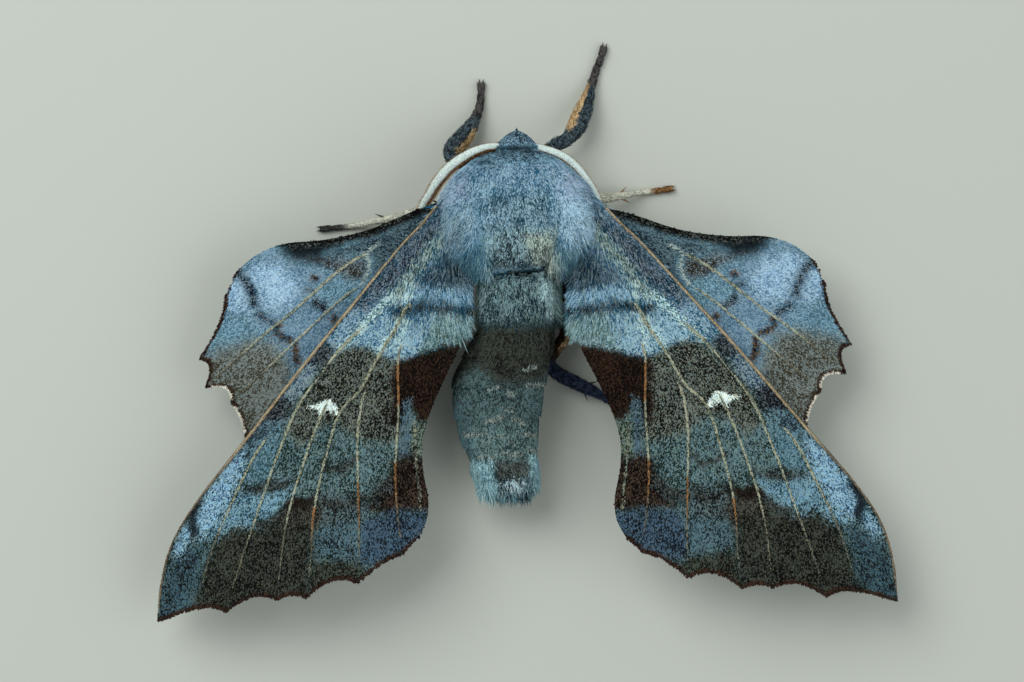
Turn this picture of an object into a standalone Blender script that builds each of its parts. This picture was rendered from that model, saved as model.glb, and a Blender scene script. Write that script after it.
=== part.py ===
"""Poplar hawk moth at rest, life size, standing on its six feet with its hindwings pushed out ahead of its forewings.

Sizes below are in millimetres: x to the moth's right, "ahead" forwards from the line through the two forewing
roots, z up from the floor. Meshes are made in metres. The origin is on the floor, under the middle of the moth.
"""

import math
import random

import bmesh
import bpy
from mathutils import Vector

MM = 0.001
GAP = 0.3  # left between nodes that meet
ROOT_LINE_Y = 9.45  # how far ahead of the origin the forewing roots lie
WING_THICKNESS = 0.5
VEIN_THICKNESS = 0.8
VEIN_HALF_WIDTH = 0.24
FOREWING_ROWS = 16
HINDWING_ROWS = 12

SIDES = {"left": -1, "right": 1}

# Cross-sections of the body: ahead, centre x, half width, lowest z, highest z.
THORAX_SECTIONS = [
    (4.6, 0.0, 0.9, 7.2, 8.1),
    (4.25, 0.0, 2.1, 6.7, 8.6),
    (3.4, 0.0, 3.65, 4.9, 9.2),
    (2.4, 0.0, 4.75, 3.4, 9.8),
    (1.2, 0.0, 5.45, 2.7, 10.3),
    (-0.4, 0.0, 5.95, 2.4, 10.6),
    (-2.2, 0.0, 5.8, 2.4, 10.6),
    (-4.0, 0.0, 4.9, 2.5, 10.2),
    (-5.2, 0.0, 3.9, 2.7, 9.6),
    (-5.8, 0.05, 3.3, 3.0, 8.9),
]
ABDOMEN_SECTIONS = [
    (-6.1, 0.05, 3.1, 3.1, 8.4),
    (-7.6, 0.05, 3.35, 2.6, 8.5),
    (-9.3, -0.1, 3.35, 2.1, 8.2),
    (-11.2, -0.65, 3.5, 1.6, 7.7),
    (-13.4, -1.45, 3.75, 1.3, 7.3),
    (-15.6, -1.75, 3.6, 1.1, 6.9),
    (-17.9, -1.8, 3.25, 1.1, 6.4),
    (-19.3, -1.7, 3.0, 1.1, 6.0),
    (-20.8, -1.3, 2.6, 1.2, 5.6),
    (-22.0, -1.2, 2.25, 1.5, 5.1),
    (-22.9, -1.15, 1.4, 2.1, 4.4),
]
SEGMENT_LENGTH = 2.4
SEGMENT_STEP = 0.035  # how much narrower the body is at the front of each abdominal segment
HEAD_SECTIONS = [
    (5.9, 0.0, 0.12, 6.3, 6.6),
    (5.5, 0.0, 0.42, 5.8, 6.9),
    (5.0, 0.0, 1.0, 4.8, 7.4),
    (4.4, 0.0, 1.7, 3.9, 7.8),
    (3.5, 0.0, 1.95, 3.6, 7.8),
    (2.6, 0.0, 1.8, 3.6, 7.3),
]
BODY_SIDES = 24

# Rows of locks along the body: where the row starts (ahead), length, first and last angle round the body in
# degrees (0 is its right side, 90 its back), number, width, and how far the tips stand off the surface.
COLLAR_LOCKS = [(4.1, 2.3, 38, 142, 6, 1.5, 0.25)]
SHOULDER_LOCKS = [
    (2.3, 3.0, 35, 62, 3, 1.7, 0.3),
    (2.3, 3.0, 118, 145, 3, 1.7, 0.3),
    (-0.2, 3.0, 38, 64, 3, 1.7, 0.3),
    (-0.2, 3.0, 116, 142, 3, 1.7, 0.3),
]
THORAX_EDGE_LOCKS = [(-3.0, 2.9, 44, 136, 8, 1.2, 0.2)]
ABDOMEN_BASE_LOCKS = [(-7.2, 2.4, 18, 162, 8, 1.5, 0.3)]
TAIL_LOCKS = [
    (-19.5, 3.0, 148, 210, 4, 1.35, 1.05),
    (-19.5, 3.0, -30, 32, 4, 1.35, 1.1),
    (-21.2, 2.7, 30, 330, 6, 1.4, -0.4),
]
LOCK_THICKNESS = 0.6
LOCK_SINK = 0.5
LOCK_TAPER = 0.6
LOCK_THINNING = 0.6
LOCK_STEPS = 3
LOCK_VARIATION = 0.12
LOCK_STRAY = 0.03  # radians round the body
LOCK_CURVE = 0.8

EYE_CENTRE = (1.5, 4.1, 5.1)
EYE_RADIUS = 0.92

# Palp and antenna: x, ahead, z, radius.
PALP_PATH = [(0.5, 4.0, 4.15, 0.36), (0.5, 4.8, 4.15, 0.38), (0.5, 5.15, 4.7, 0.36), (0.45, 5.2, 5.4, 0.18)]
ANTENNA_PATHS = {
    "left": [
        (0.9, 4.55, 6.4, 0.26),
        (1.9, 4.6, 6.4, 0.26),
        (3.0, 4.35, 6.4, 0.28),
        (4.05, 3.85, 6.4, 0.29),
        (5.1, 3.15, 6.3, 0.29),
        (6.05, 2.15, 6.0, 0.29),
        (6.75, 1.1, 5.5, 0.28),
        (7.4, -0.05, 5.0, 0.27),
        (7.95, -1.7, 4.5, 0.24),
        (8.35, -3.7, 4.3, 0.2),
        (8.55, -5.5, 4.2, 0.16),
        (8.35, -6.5, 4.2, 0.08),
    ],
    "right": [
        (0.9, 4.5, 6.4, 0.26),
        (1.9, 4.4, 6.4, 0.26),
        (2.95, 4.1, 6.4, 0.28),
        (3.95, 3.6, 6.4, 0.29),
        (4.85, 2.85, 6.3, 0.29),
        (5.6, 1.85, 6.0, 0.29),
        (6.25, 0.75, 5.5, 0.28),
        (6.7, -0.4, 5.0, 0.27),
        (7.0, -2.0, 4.5, 0.24),
        (7.4, -4.0, 4.3, 0.2),
        (7.6, -5.8, 4.2, 0.16),
        (7.4, -6.8, 4.2, 0.08),
    ],
}

# Legs: x, ahead, z, radius, from the coxa inside the thorax to the claws. Every foot lies along the floor.
FOOT_Z = 0.3
FOOT_RADIUS = 0.4
LEG_PATHS = {
    "leg_fore_left": [
        (1.2, 2.0, 4.6, 0.7),
        (2.3, 3.5, 3.1, 0.7),
        (3.6, 3.8, 2.6, 0.6),
        (4.7, 3.8, 2.3, 0.6),
        (4.85, 4.6, 2.0, 0.78),
        (3.95, 5.6, 1.7, 0.72),
        (3.1, 6.8, 1.1, 0.5),
        (2.6, 8.1, 0.5, 0.4),
        (2.45, 9.2, FOOT_Z, 0.36),
        (2.4, 10.1, FOOT_Z, 0.46),
    ],
    "leg_fore_right": [
        (1.2, 2.0, 4.6, 0.7),
        (2.2, 3.6, 3.1, 0.7),
        (3.4, 4.3, 2.6, 0.6),
        (4.4, 4.4, 2.3, 0.6),
        (5.0, 5.3, 2.0, 0.78),
        (5.5, 6.9, 1.6, 0.66),
        (6.0, 8.6, 0.9, 0.5),
        (6.65, 10.4, FOOT_Z, FOOT_RADIUS),
        (7.2, 11.8, FOOT_Z, 0.36),
        (7.5, 12.7, FOOT_Z, 0.42),
    ],
    "leg_mid_left": [
        (1.6, -0.6, 4.4, 0.75),
        (3.4, -0.1, 2.9, 0.75),
        (5.2, 0.1, 2.9, 0.6),
        (6.9, 0.0, 2.8, 0.55),
        (9.1, -0.45, 2.0, 0.42),
        (11.0, -0.75, 1.2, 0.38),
        (12.2, -0.95, 0.6, 0.36),
        (13.2, -1.05, FOOT_Z, 0.36),
        (14.4, -1.15, FOOT_Z, 0.36),
        (15.6, -1.2, FOOT_Z, 0.46),
    ],
    "leg_mid_right": [
        (1.6, -0.6, 4.4, 0.75),
        (3.2, 0.1, 2.9, 0.75),
        (4.6, 0.4, 2.9, 0.6),
        (5.8, 0.4, 2.8, 0.6),
        (7.4, 0.5, 2.0, 0.5),
        (8.6, 0.7, 1.2, 0.42),
        (9.8, 0.9, 0.6, 0.36),
        (10.8, 1.0, FOOT_Z, 0.38),
        (11.8, 1.1, FOOT_Z, 0.42),
        (12.6, 1.2, FOOT_Z, 0.5),
    ],
    "leg_hind_left": [
        (1.5, -3.6, 4.4, 0.75),
        (3.3, -5.0, 2.9, 0.7),
        (5.2, -6.9, 2.7, 0.6),
        (6.6, -9.0, 2.5, 0.6),
        (7.2, -11.2, 2.0, 0.55),
        (8.2, -13.6, 1.1, 0.5),
        (9.2, -15.2, 0.5, 0.42),
        (10.1, -16.4, FOOT_Z, FOOT_RADIUS),
        (11.6, -17.8, FOOT_Z, 0.36),
        (12.7, -18.7, FOOT_Z, 0.42),
    ],
    "leg_hind_right": [
        (1.5, -3.6, 4.4, 0.75),
        (3.2, -5.2, 2.9, 0.7),
        (4.0, -7.6, 2.6, 0.6),
        (3.6, -10.4, 2.3, 0.6),
        (2.9, -12.4, 1.9, 0.58),
        (3.5, -13.6, 1.6, 0.58),
        (4.95, -14.35, 1.1, 0.52),
        (6.7, -15.3, 0.6, 0.46),
        (8.2, -16.2, FOOT_Z, FOOT_RADIUS),
        (9.7, -17.3, FOOT_Z, 0.36),
        (10.8, -18.2, FOOT_Z, 0.42),
    ],
}
# Spurs on the shins: share of the leg's length, length, radius.
SPURS = {"mid": [0.62], "hind": [0.5, 0.66]}
SPUR_LENGTH = 1.1
SPUR_RADIUS = 0.2
CLAW_LENGTH = 0.55
CLAW_RADIUS = 0.17

# Wings: each vein is a track from the root to the margin, in (x, ahead). "ridge" is the stretch of it that is
# raised, and "bay" how far the margin is cut in between this vein's end and the next one's.
FOREWING_VEINS = [
    {"track": [(5.0, 0.3), (9.4, -3.1), (13.2, -7.3), (17.4, -12.1), (22.4, -18.2), (25.9, -22.4), (27.8, -25.4),
               (28.7, -28.4), (28.9, -31.65)], "ridge": (0.0, 0.97), "bay": 0.0},
    {"track": [(5.0, -0.3), (10.5, -4.9), (14.1, -9.2), (18.6, -14.7), (22.5, -19.4), (25.3, -23.5), (26.9, -26.8),
               (27.6, -29.4), (27.8, -31.3)], "ridge": (0.55, 0.9), "bay": 0.1},
    {"track": [(5.0, -0.8), (9.9, -5.8), (13.6, -9.9), (17.3, -14.6), (20.7, -18.3), (22.7, -22.0), (24.5, -26.0),
               (25.5, -29.4), (25.7, -31.0)], "ridge": (0.5, 0.96), "bay": 0.25},
    {"track": [(4.9, -1.3), (7.9, -4.7), (11.3, -8.2), (14.7, -11.4), (17.6, -15.2), (19.1, -18.5), (20.8, -23.2),
               (22.4, -28.0), (23.4, -31.3)], "ridge": (0.0, 0.97), "bay": 0.75},
    {"track": [(4.9, -1.8), (7.7, -5.3), (9.9, -8.1), (12.3, -10.9), (14.3, -13.5), (15.7, -15.8), (17.3, -20.0),
               (18.6, -24.7), (19.2, -30.45)], "ridge": (0.47, 0.97), "bay": 0.35},
    {"track": [(4.8, -2.2), (7.3, -5.5), (9.2, -8.1), (10.1, -9.8), (11.6, -12.2), (12.7, -14.2), (14.3, -15.9),
               (15.2, -18.5), (16.3, -23.5), (16.5, -27.5), (16.8, -30.4)], "ridge": (0.0, 0.97), "bay": 0.85},
    {"track": [(4.8, -2.7), (6.9, -5.8), (8.5, -8.3), (9.6, -10.4), (11.2, -12.9), (12.4, -14.6), (12.85, -17.2),
               (12.85, -20.0), (12.65, -24.9), (12.6, -29.4)], "ridge": (0.46, 0.97), "bay": 0.35},
    {"track": [(4.7, -3.2), (6.5, -6.0), (8.0, -8.3), (9.2, -10.3), (9.75, -12.2), (9.65, -15.8), (9.8, -20.5),
               (9.6, -23.8), (9.1, -27.3)], "ridge": (0.2, 0.97), "bay": 0.15},
    {"track": [(4.5, -3.8), (4.4, -6.4), (4.2, -8.8), (4.7, -11.0), (5.7, -13.2), (6.8, -15.6), (7.6, -18.2),
               (7.6, -20.6), (7.1, -23.0), (7.2, -24.7), (7.9, -26.1)], "ridge": None},
]
HINDWING_VEINS = [
    {"track": [(5.0, 0.1), (8.9, -0.95), (12.7, -2.3), (16.2, -2.9), (19.4, -3.0), (21.6, -3.7), (23.2, -4.9)],
     "ridge": (0.0, 0.97), "bay": -0.25},
    {"track": [(5.0, -0.5), (11.5, -2.9), (17.0, -4.2), (21.0, -5.4), (24.1, -7.0)], "ridge": (0.45, 0.95),
     "bay": 0.55},
    {"track": [(5.0, -1.0), (12.0, -3.6), (17.6, -6.2), (22.4, -9.2), (26.1, -11.6)], "ridge": (0.4, 0.97),
     "bay": 0.75},
    {"track": [(4.9, -1.5), (10.6, -3.5), (12.9, -4.2), (15.1, -5.4), (18.9, -8.5), (21.4, -10.35), (25.6, -13.9)],
     "ridge": (0.0, 0.97), "bay": 0.85},
    {"track": [(4.9, -2.0), (9.6, -4.7), (13.3, -6.6), (15.0, -7.7), (18.0, -10.3), (19.9, -12.0), (23.5, -15.2)],
     "ridge": (0.0, 0.97), "bay": 0.35},
    {"track": [(4.9, -2.4), (9.4, -5.6), (13.0, -9.2), (17.2, -13.4), (20.9, -17.0), (22.2, -18.6)],
     "ridge": (0.25, 0.97), "bay": 0.5},
    {"track": [(4.8, -2.8), (8.8, -6.6), (12.4, -11.4), (16.0, -16.6), (18.4, -21.0)], "ridge": (0.3, 0.97),
     "bay": 0.5},
    {"track": [(4.7, -3.2), (7.8, -7.2), (10.4, -12.0), (12.4, -17.0), (13.6, -21.4)], "ridge": (0.3, 0.97),
     "bay": 0.3},
    {"track": [(4.6, -3.6), (5.7, -7.0), (6.6, -10.8), (8.0, -14.6), (9.8, -17.4)], "ridge": None},
]

# How the wings stand: height at the root, then rise, droop and inward lean, and how far the hindwing lies below.
WING_ROOT_Z = 7.7
WING_INNER_X = 5.5
WING_REACH = 23.4
WING_RISE = 0.8
WING_DROOP = 3.2
INNER_LEAN = 1.1
HINDWING_DROP = 1.35
PLEAT = 0.14


# The tracks are drawn for the right wings. The left ones are set a little differently, as an affine change of
# their plan: x scale, x per mm ahead, x shift, then ahead per mm of x, ahead scale, ahead shift.
WING_AS_DRAWN = (1.0, 0.0, 0.0, 0.0, 1.0, 0.0)
WING_SETS = {
    "forewing_left": (0.96, -0.05, -0.545, -0.015, 0.998, 0.44),
    "hindwing_left": (1.0, -0.045, -1.5, -0.033, 0.998, 1.14),
}


def colour(red, green, blue):
    return (red, green, blue, 1.0)


FINISHES = {
    "grey_fur": (colour(0.16, 0.21, 0.24), 0.85),
    "wing_scales": (colour(0.12, 0.15, 0.17), 0.75),
    "antenna_cream": (colour(0.75, 0.72, 0.6), 0.6),
    "leg_scales": (colour(0.07, 0.09, 0.12), 0.7),
    "eye_black": (colour(0.01, 0.01, 0.012), 0.15),
}


def clear_scene():
    for thing in list(bpy.data.objects):
        bpy.data.objects.remove(thing, do_unlink=True)


def new_collection(name, hidden=False):
    made = bpy.data.collections.new(name)
    bpy.context.scene.collection.children.link(made)
    made.hide_render = hidden
    return made


def finish_of(name):
    """The material of that name, made the first time that it is asked for."""
    found = bpy.data.materials.get(name)
    if found:
        return found
    made = bpy.data.materials.new(name)
    made.use_nodes = True
    shader = made.node_tree.nodes["Principled BSDF"]
    base, roughness = FINISHES[name]
    shader.inputs["Base Color"].default_value = base
    shader.inputs["Roughness"].default_value = roughness
    shader.inputs["Metallic"].default_value = 0.0
    made.diffuse_color = base
    return made


def place(x, ahead, z):
    """A point of the moth, in metres, in the frame of the whole part."""
    return Vector((x, ROOT_LINE_Y + ahead, z)) * MM


def new_object(name, mesh, collection):
    made = bpy.data.objects.new(name, mesh)
    collection.objects.link(made)
    return made


def mesh_of(name, shape):
    """Turns a bmesh into a mesh with outward faces, and frees it."""
    bmesh.ops.recalc_face_normals(shape, faces=shape.faces)
    mesh = bpy.data.meshes.new(name)
    shape.to_mesh(mesh)
    shape.free()
    return mesh


def smooth_line(points, spans=8):
    """Points on a Catmull-Rom curve through the given ones, each a tuple of any length."""
    ends = [points[0], *points, points[-1]]
    line = []
    for i in range(1, len(ends) - 2):
        before, here, after, later = ends[i - 1 : i + 3]
        for step in range(spans):
            t = step / spans
            line.append(
                tuple(
                    0.5
                    * (
                        2 * b
                        + (c - a) * t
                        + (2 * a - 5 * b + 4 * c - d) * t**2
                        + (3 * b - a - 3 * c + d) * t**3
                    )
                    for a, b, c, d in zip(before, here, after, later)
                )
            )
    line.append(tuple(points[-1]))
    return line


def lengths_along(line, axes):
    """The length of the line up to each of its points, measured on its first axes."""
    total = [0.0]
    for a, b in zip(line, line[1:]):
        total.append(total[-1] + math.dist(a[:axes], b[:axes]))
    return total


def point_at(line, lengths, share):
    """The point at that share of the line's length."""
    wanted = share * lengths[-1]
    for i in range(1, len(line)):
        if lengths[i] >= wanted:
            t = (wanted - lengths[i - 1]) / max(lengths[i] - lengths[i - 1], 1e-9)
            return tuple(a + (b - a) * t for a, b in zip(line[i - 1], line[i]))
    return line[-1]


def loft(name, rings):
    """A closed mesh through rings of points, each end closed by a fan."""
    shape = bmesh.new()
    made = [[shape.verts.new(point) for point in ring] for ring in rings]
    count = len(rings[0])
    for back, front in zip(made, made[1:]):
        for i in range(count):
            j = (i + 1) % count
            shape.faces.new((back[i], back[j], front[j], front[i]))
    for ring in (made[0], made[-1]):
        middle = shape.verts.new(sum((vertex.co for vertex in ring), Vector()) / count)
        for i in range(count):
            shape.faces.new((ring[i], ring[(i + 1) % count], middle))
    return mesh_of(name, shape)


def body_ring(section, narrowing=1.0):
    """One oval cross-section of the body."""
    ahead, centre, half_width, low, high = section
    middle = (low + high) / 2
    half_height = (high - low) / 2
    ring = []
    for i in range(BODY_SIDES):
        turn = 2 * math.pi * i / BODY_SIDES
        x = centre + half_width * narrowing * math.cos(turn)
        z = middle + half_height * narrowing * math.sin(turn)
        ring.append(place(x, ahead, z))
    return ring


def segment_narrowing(ahead):
    """The abdomen is slightly drawn in where each of its segments slides out from under the one before."""
    start = ABDOMEN_SECTIONS[2][0]
    if ahead > start:
        return 1.0
    share = ((start - ahead) / SEGMENT_LENGTH) % 1.0
    return 1.0 - SEGMENT_STEP * (1.0 - share) ** 2


def make_body(name, sections, per_span, collection, segmented=False):
    line = smooth_line(sections, per_span)
    rings = [body_ring(s, segment_narrowing(s[0]) if segmented else 1.0) for s in line]
    return new_object(name, loft(name, rings), collection)


def make_tube(name, stations, collection, sides=8, per_span=2):
    """A limb along stations of (x, ahead, z, radius), as a bevelled curve turned into a closed mesh."""
    line = smooth_line(stations, per_span)
    curve = bpy.data.curves.new(name, "CURVE")
    curve.dimensions = "3D"
    curve.bevel_depth = MM
    curve.bevel_resolution = sides // 2 - 2
    curve.use_fill_caps = True
    spline = curve.splines.new("POLY")
    spline.points.add(len(line) - 1)
    for point, (x, ahead, z, radius) in zip(spline.points, line):
        point.co = (*place(x, ahead, z), 1.0)
        point.radius = radius
    guide = new_object(name + "_curve", curve, collection)
    graph = bpy.context.evaluated_depsgraph_get()
    mesh = bpy.data.meshes.new_from_object(guide.evaluated_get(graph))
    mesh.name = name
    bpy.data.objects.remove(guide)
    shape = bmesh.new()
    shape.from_mesh(mesh)
    bmesh.ops.remove_doubles(shape, verts=shape.verts, dist=0.001 * MM)
    bmesh.ops.recalc_face_normals(shape, faces=shape.faces)
    shape.to_mesh(mesh)
    shape.free()
    return new_object(name, mesh, collection)


def make_cone(name, base, tip, radius, collection, sides=5):
    """A spur or claw: a cone from base to tip, both in millimetres of the moth."""
    start = place(*base)
    along = place(*tip) - start
    shape = bmesh.new()
    bmesh.ops.create_cone(shape, cap_ends=True, cap_tris=True, segments=sides, radius1=radius * MM,
                          radius2=0.25 * radius * MM, depth=along.length)
    turn = along.to_track_quat("Z", "Y").to_matrix()
    bmesh.ops.rotate(shape, verts=shape.verts, matrix=turn)
    bmesh.ops.translate(shape, verts=shape.verts, vec=start + along / 2)
    return new_object(name, mesh_of(name, shape), collection)


def section_at(line, ahead):
    """The body's cross-section at a place along it, or its nearest end section."""
    for front, back in zip(line, line[1:]):
        if front[0] >= ahead > back[0]:
            t = (front[0] - ahead) / (front[0] - back[0])
            return [a + (b - a) * t for a, b in zip(front, back)]
    return line[0] if ahead > line[0][0] else line[-1]


def over_body(line, ahead, turn, above):
    """A point at a height over the body's surface, at an angle round it."""
    _, centre, half_width, low, high = section_at(line, ahead)
    x = centre + (half_width + above) * math.cos(turn)
    z = (low + high) / 2 + ((high - low) / 2 + above) * math.sin(turn)
    return Vector((x, ahead, z))


def make_lock(name, spine, outward, width, collection):
    """A flat, tapered lock of fur along a spine of points, its flat side turned outward."""
    rings = []
    for i, point in enumerate(spine):
        share = i / (len(spine) - 1)
        along = spine[min(i + 1, len(spine) - 1)] - spine[max(i - 1, 0)]
        aside = along.cross(outward[i]).normalized()
        up = aside.cross(along).normalized()
        half_width = width / 2 * (1 - LOCK_TAPER * share**2)
        half_depth = LOCK_THICKNESS / 2 * (1 - LOCK_THINNING * share)
        corners = (aside * half_width, up * half_depth, -aside * half_width, -up * half_depth)
        rings.append([place(*(point + corner)) for corner in corners])
    return new_object(name, loft(name, rings), collection)


def lock_row(name, line, row, draw, collection):
    """Locks side by side round the body, each a little different in length, lie and width."""
    start, length, first, last, count, width, lift = row
    locks = []
    for number in range(count):
        vary = [1 + draw.uniform(-LOCK_VARIATION, LOCK_VARIATION) for _ in range(3)]
        turn = math.radians(first + (last - first) * number / (count - 1))
        turn += draw.uniform(-LOCK_STRAY, LOCK_STRAY)
        spine = []
        outward = []
        for step in range(LOCK_STEPS + 1):
            share = step / LOCK_STEPS
            ahead = start - length * vary[0] * share
            above = -LOCK_SINK + (lift * vary[1] + LOCK_SINK) * share**LOCK_CURVE
            spine.append(over_body(line, ahead, turn, above))
            outward.append(Vector((math.cos(turn), 0.0, math.sin(turn))))
        locks.append(make_lock(f"{name}_{number}", spine, outward, width * vary[2], collection))
    return locks


def add_locks(host, sections, rows, collection):
    draw = random.Random(host.name)
    line = smooth_line(sections, 4)
    locks = []
    for number, row in enumerate(rows):
        locks += lock_row(f"{host.name}_lock{number}", line, row, draw, collection)
    join_pieces(host, locks)


def evaluated_copy(thing):
    graph = bpy.context.evaluated_depsgraph_get()
    return bpy.data.meshes.new_from_object(thing.evaluated_get(graph))


def apply_modifiers(thing):
    mesh = evaluated_copy(thing)
    thing.modifiers.clear()
    thing.data = mesh


def keep_largest_surface(thing):
    """Drops every loose surface of a joined or cut mesh but the largest."""
    shape = bmesh.new()
    shape.from_mesh(thing.data)
    left = set(shape.verts)
    surfaces = []
    while left:
        start = left.pop()
        found = {start}
        edge_of_search = [start]
        while edge_of_search:
            vertex = edge_of_search.pop()
            for edge in vertex.link_edges:
                other = edge.other_vert(vertex)
                if other not in found:
                    found.add(other)
                    edge_of_search.append(other)
        left -= found
        surfaces.append(found)
    surfaces.sort(key=len)
    loose = [vertex for surface in surfaces[:-1] for vertex in surface]
    bmesh.ops.delete(shape, geom=loose, context="VERTS")
    shape.to_mesh(thing.data)
    shape.free()


def join_pieces(host, pieces):
    """Joins the pieces to their host by one Boolean union, and removes them."""
    group = new_collection(host.name + "_pieces")
    for piece in pieces:
        for owner in list(piece.users_collection):
            owner.objects.unlink(piece)
        group.objects.link(piece)
    union = host.modifiers.new("join", "BOOLEAN")
    union.operation = "UNION"
    union.operand_type = "COLLECTION"
    union.collection = group
    union.solver = "EXACT"
    apply_modifiers(host)
    for piece in pieces:
        bpy.data.objects.remove(piece)
    bpy.data.collections.remove(group)
    keep_largest_surface(host)


def swollen_copy(thing, by, collection):
    """A cutter: the same shape, grown along its normals."""
    mesh = evaluated_copy(thing)
    shape = bmesh.new()
    shape.from_mesh(mesh)
    shape.normal_update()
    moves = [(vertex, vertex.normal * by * MM) for vertex in shape.verts]
    for vertex, move in moves:
        vertex.co += move
    shape.to_mesh(mesh)
    shape.free()
    made = new_object(thing.name + "_cutter", mesh, collection)
    made.hide_render = True
    made.display_type = "WIRE"
    return made


def cut_away(thing, cutters):
    """Cuts the thing back so that it meets the pieces that it grows from face to face."""
    for cutter in cutters:
        cut = thing.modifiers.new("cut_" + cutter.name, "BOOLEAN")
        cut.operation = "DIFFERENCE"
        cut.object = cutter
        cut.solver = "EXACT"
    apply_modifiers(thing)
    keep_largest_surface(thing)


def floor_cutter(collection):
    shape = bmesh.new()
    bmesh.ops.create_cube(shape, size=1.0)
    bmesh.ops.scale(shape, verts=shape.verts, vec=Vector((90, 90, 10)) * MM)
    bmesh.ops.translate(shape, verts=shape.verts, vec=Vector((0, 0, -5)) * MM)
    made = new_object("floor_cutter", mesh_of("floor_cutter", shape), collection)
    made.hide_render = True
    made.display_type = "WIRE"
    return made


def sheet_height(x, ahead):
    """The height of the forewing's middle surface at a point of the plan."""
    out = min(max((abs(x) - WING_INNER_X) / WING_REACH, 0.0), 1.0)
    back = min(max(-ahead / 26.0, 0.0), 1.0)
    arch = WING_RISE * math.sin(math.pi * out) - WING_DROOP * out**2
    return WING_ROOT_Z + arch - INNER_LEAN * back * (1.0 - out)


def wing_columns(veins):
    """The wing's columns from the leading edge to the inner margin: (vein number, offset or share, ridge)."""
    columns = [("beside", 0, 0.0, True), ("beside", 0, VEIN_HALF_WIDTH, False)]
    for number in range(1, len(veins)):
        columns.append(("between", number - 1, 0.5, False))
        if veins[number]["ridge"]:
            columns.append(("beside", number, -VEIN_HALF_WIDTH, False))
            columns.append(("beside", number, 0.0, True))
            columns.append(("beside", number, VEIN_HALF_WIDTH, False))
        else:
            columns.append(("beside", number, 0.0, False))
    return columns


def across_wing(points, column):
    """Where a column crosses a row, as a position counted in veins."""
    kind, number, amount, _ = column
    if kind == "between":
        return number + amount
    neighbour = number + (1 if amount > 0 else -1)
    if amount == 0.0 or not 0 <= neighbour < len(points):
        return float(number)
    room = math.dist(points[number], points[neighbour])
    return number + math.copysign(min(abs(amount) / max(room, 1e-6), 0.3), amount)


def make_wing(name, veins, rows, drop, side, collection):
    """A wing: a triangulated sheet over the veins, thickened, with its veins raised in its own surface."""
    tracks = [smooth_line(vein["track"]) for vein in veins]
    lengths = [lengths_along(track, 2) for track in tracks]
    columns = wing_columns(veins)

    def on_vein(number, share):
        return point_at(tracks[number], lengths[number], share)

    shape = bmesh.new()
    grid = []
    ridge_vertices = []
    for row in range(rows + 1):
        share = row / rows
        base = [on_vein(number, share) for number in range(len(veins))]
        line = []
        for column in columns:
            across = across_wing(base, column)
            number = min(int(across), len(veins) - 2)
            t = across - number
            hollow = 4 * t * (1 - t)
            cut = veins[number]["bay"] * hollow / lengths[number][-1]
            held = share - cut * share**3
            a, b = on_vein(number, held), on_vein(number + 1, held)
            x, ahead = (p + (q - p) * t for p, q in zip(a, b))
            z = sheet_height(x, ahead) - drop - PLEAT * hollow * share
            x, ahead = set_wing(name, x, ahead)
            vertex = shape.verts.new(place(side * x, ahead, z))
            line.append(vertex)
            raised = veins[column[1]]["ridge"] if column[3] else None
            if raised and raised[0] <= share <= raised[1]:
                ridge_vertices.append(vertex)
        grid.append(line)
    shape.verts.index_update()
    for low, high in zip(grid, grid[1:]):
        for i in range(len(columns) - 1):
            shape.faces.new((low[i], low[i + 1], high[i + 1]))
            shape.faces.new((low[i], high[i + 1], high[i]))
    raised = [vertex.index for vertex in ridge_vertices]
    mesh = mesh_of(name, shape)
    wing = new_object(name, mesh, collection)
    group = wing.vertex_groups.new(name="thickness")
    group.add(range(len(mesh.vertices)), WING_THICKNESS / VEIN_THICKNESS, "REPLACE")
    group.add(raised, 1.0, "REPLACE")
    shell = wing.modifiers.new("membrane", "SOLIDIFY")
    shell.thickness = VEIN_THICKNESS * MM
    shell.offset = 0.0
    shell.vertex_group = group.name
    apply_modifiers(wing)
    wing.vertex_groups.clear()
    return wing


def set_wing(name, x, ahead):
    """Where a point of the wing's plan goes on one side of the moth: the left wings are held a little narrower."""
    wide, skew, inward, lift, long, forward = WING_SETS.get(name, WING_AS_DRAWN)
    return wide * x + skew * ahead + inward, lift * x + long * ahead + forward


def mirrored(stations, side):
    return [(side * x, *rest) for x, *rest in stations]


def add_palps(head, collection):
    palps = [make_tube(f"palp_{name}", mirrored(PALP_PATH, side), collection) for name, side in SIDES.items()]
    join_pieces(head, palps)


def make_eye(name, side, collection):
    x, ahead, z = EYE_CENTRE
    shape = bmesh.new()
    bmesh.ops.create_uvsphere(shape, u_segments=20, v_segments=12, radius=EYE_RADIUS * MM)
    bmesh.ops.translate(shape, verts=shape.verts, vec=place(side * x, ahead, z))
    return new_object(name, mesh_of(name, shape), collection)


def leg_spurs(name, line, lengths, collection):
    """Pairs of spurs that point along the leg towards its foot."""
    kind = name.split("_")[1]
    spurs = []
    for number, share in enumerate(SPURS.get(kind, [])):
        x, ahead, z, radius = point_at(line, lengths, share)
        further = point_at(line, lengths, share + 0.08)
        way = Vector(further[:3]) - Vector((x, ahead, z))
        way.normalize()
        aside = Vector((-way.y, way.x, 0.0)).normalized()
        for sign in (-1, 1):
            tip = Vector((x, ahead, z)) + way * SPUR_LENGTH + aside * sign * (radius + 0.3)
            spurs.append(make_cone(f"{name}_spur{number}{sign}", (x, ahead, z), tip, SPUR_RADIUS, collection))
    return spurs


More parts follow.
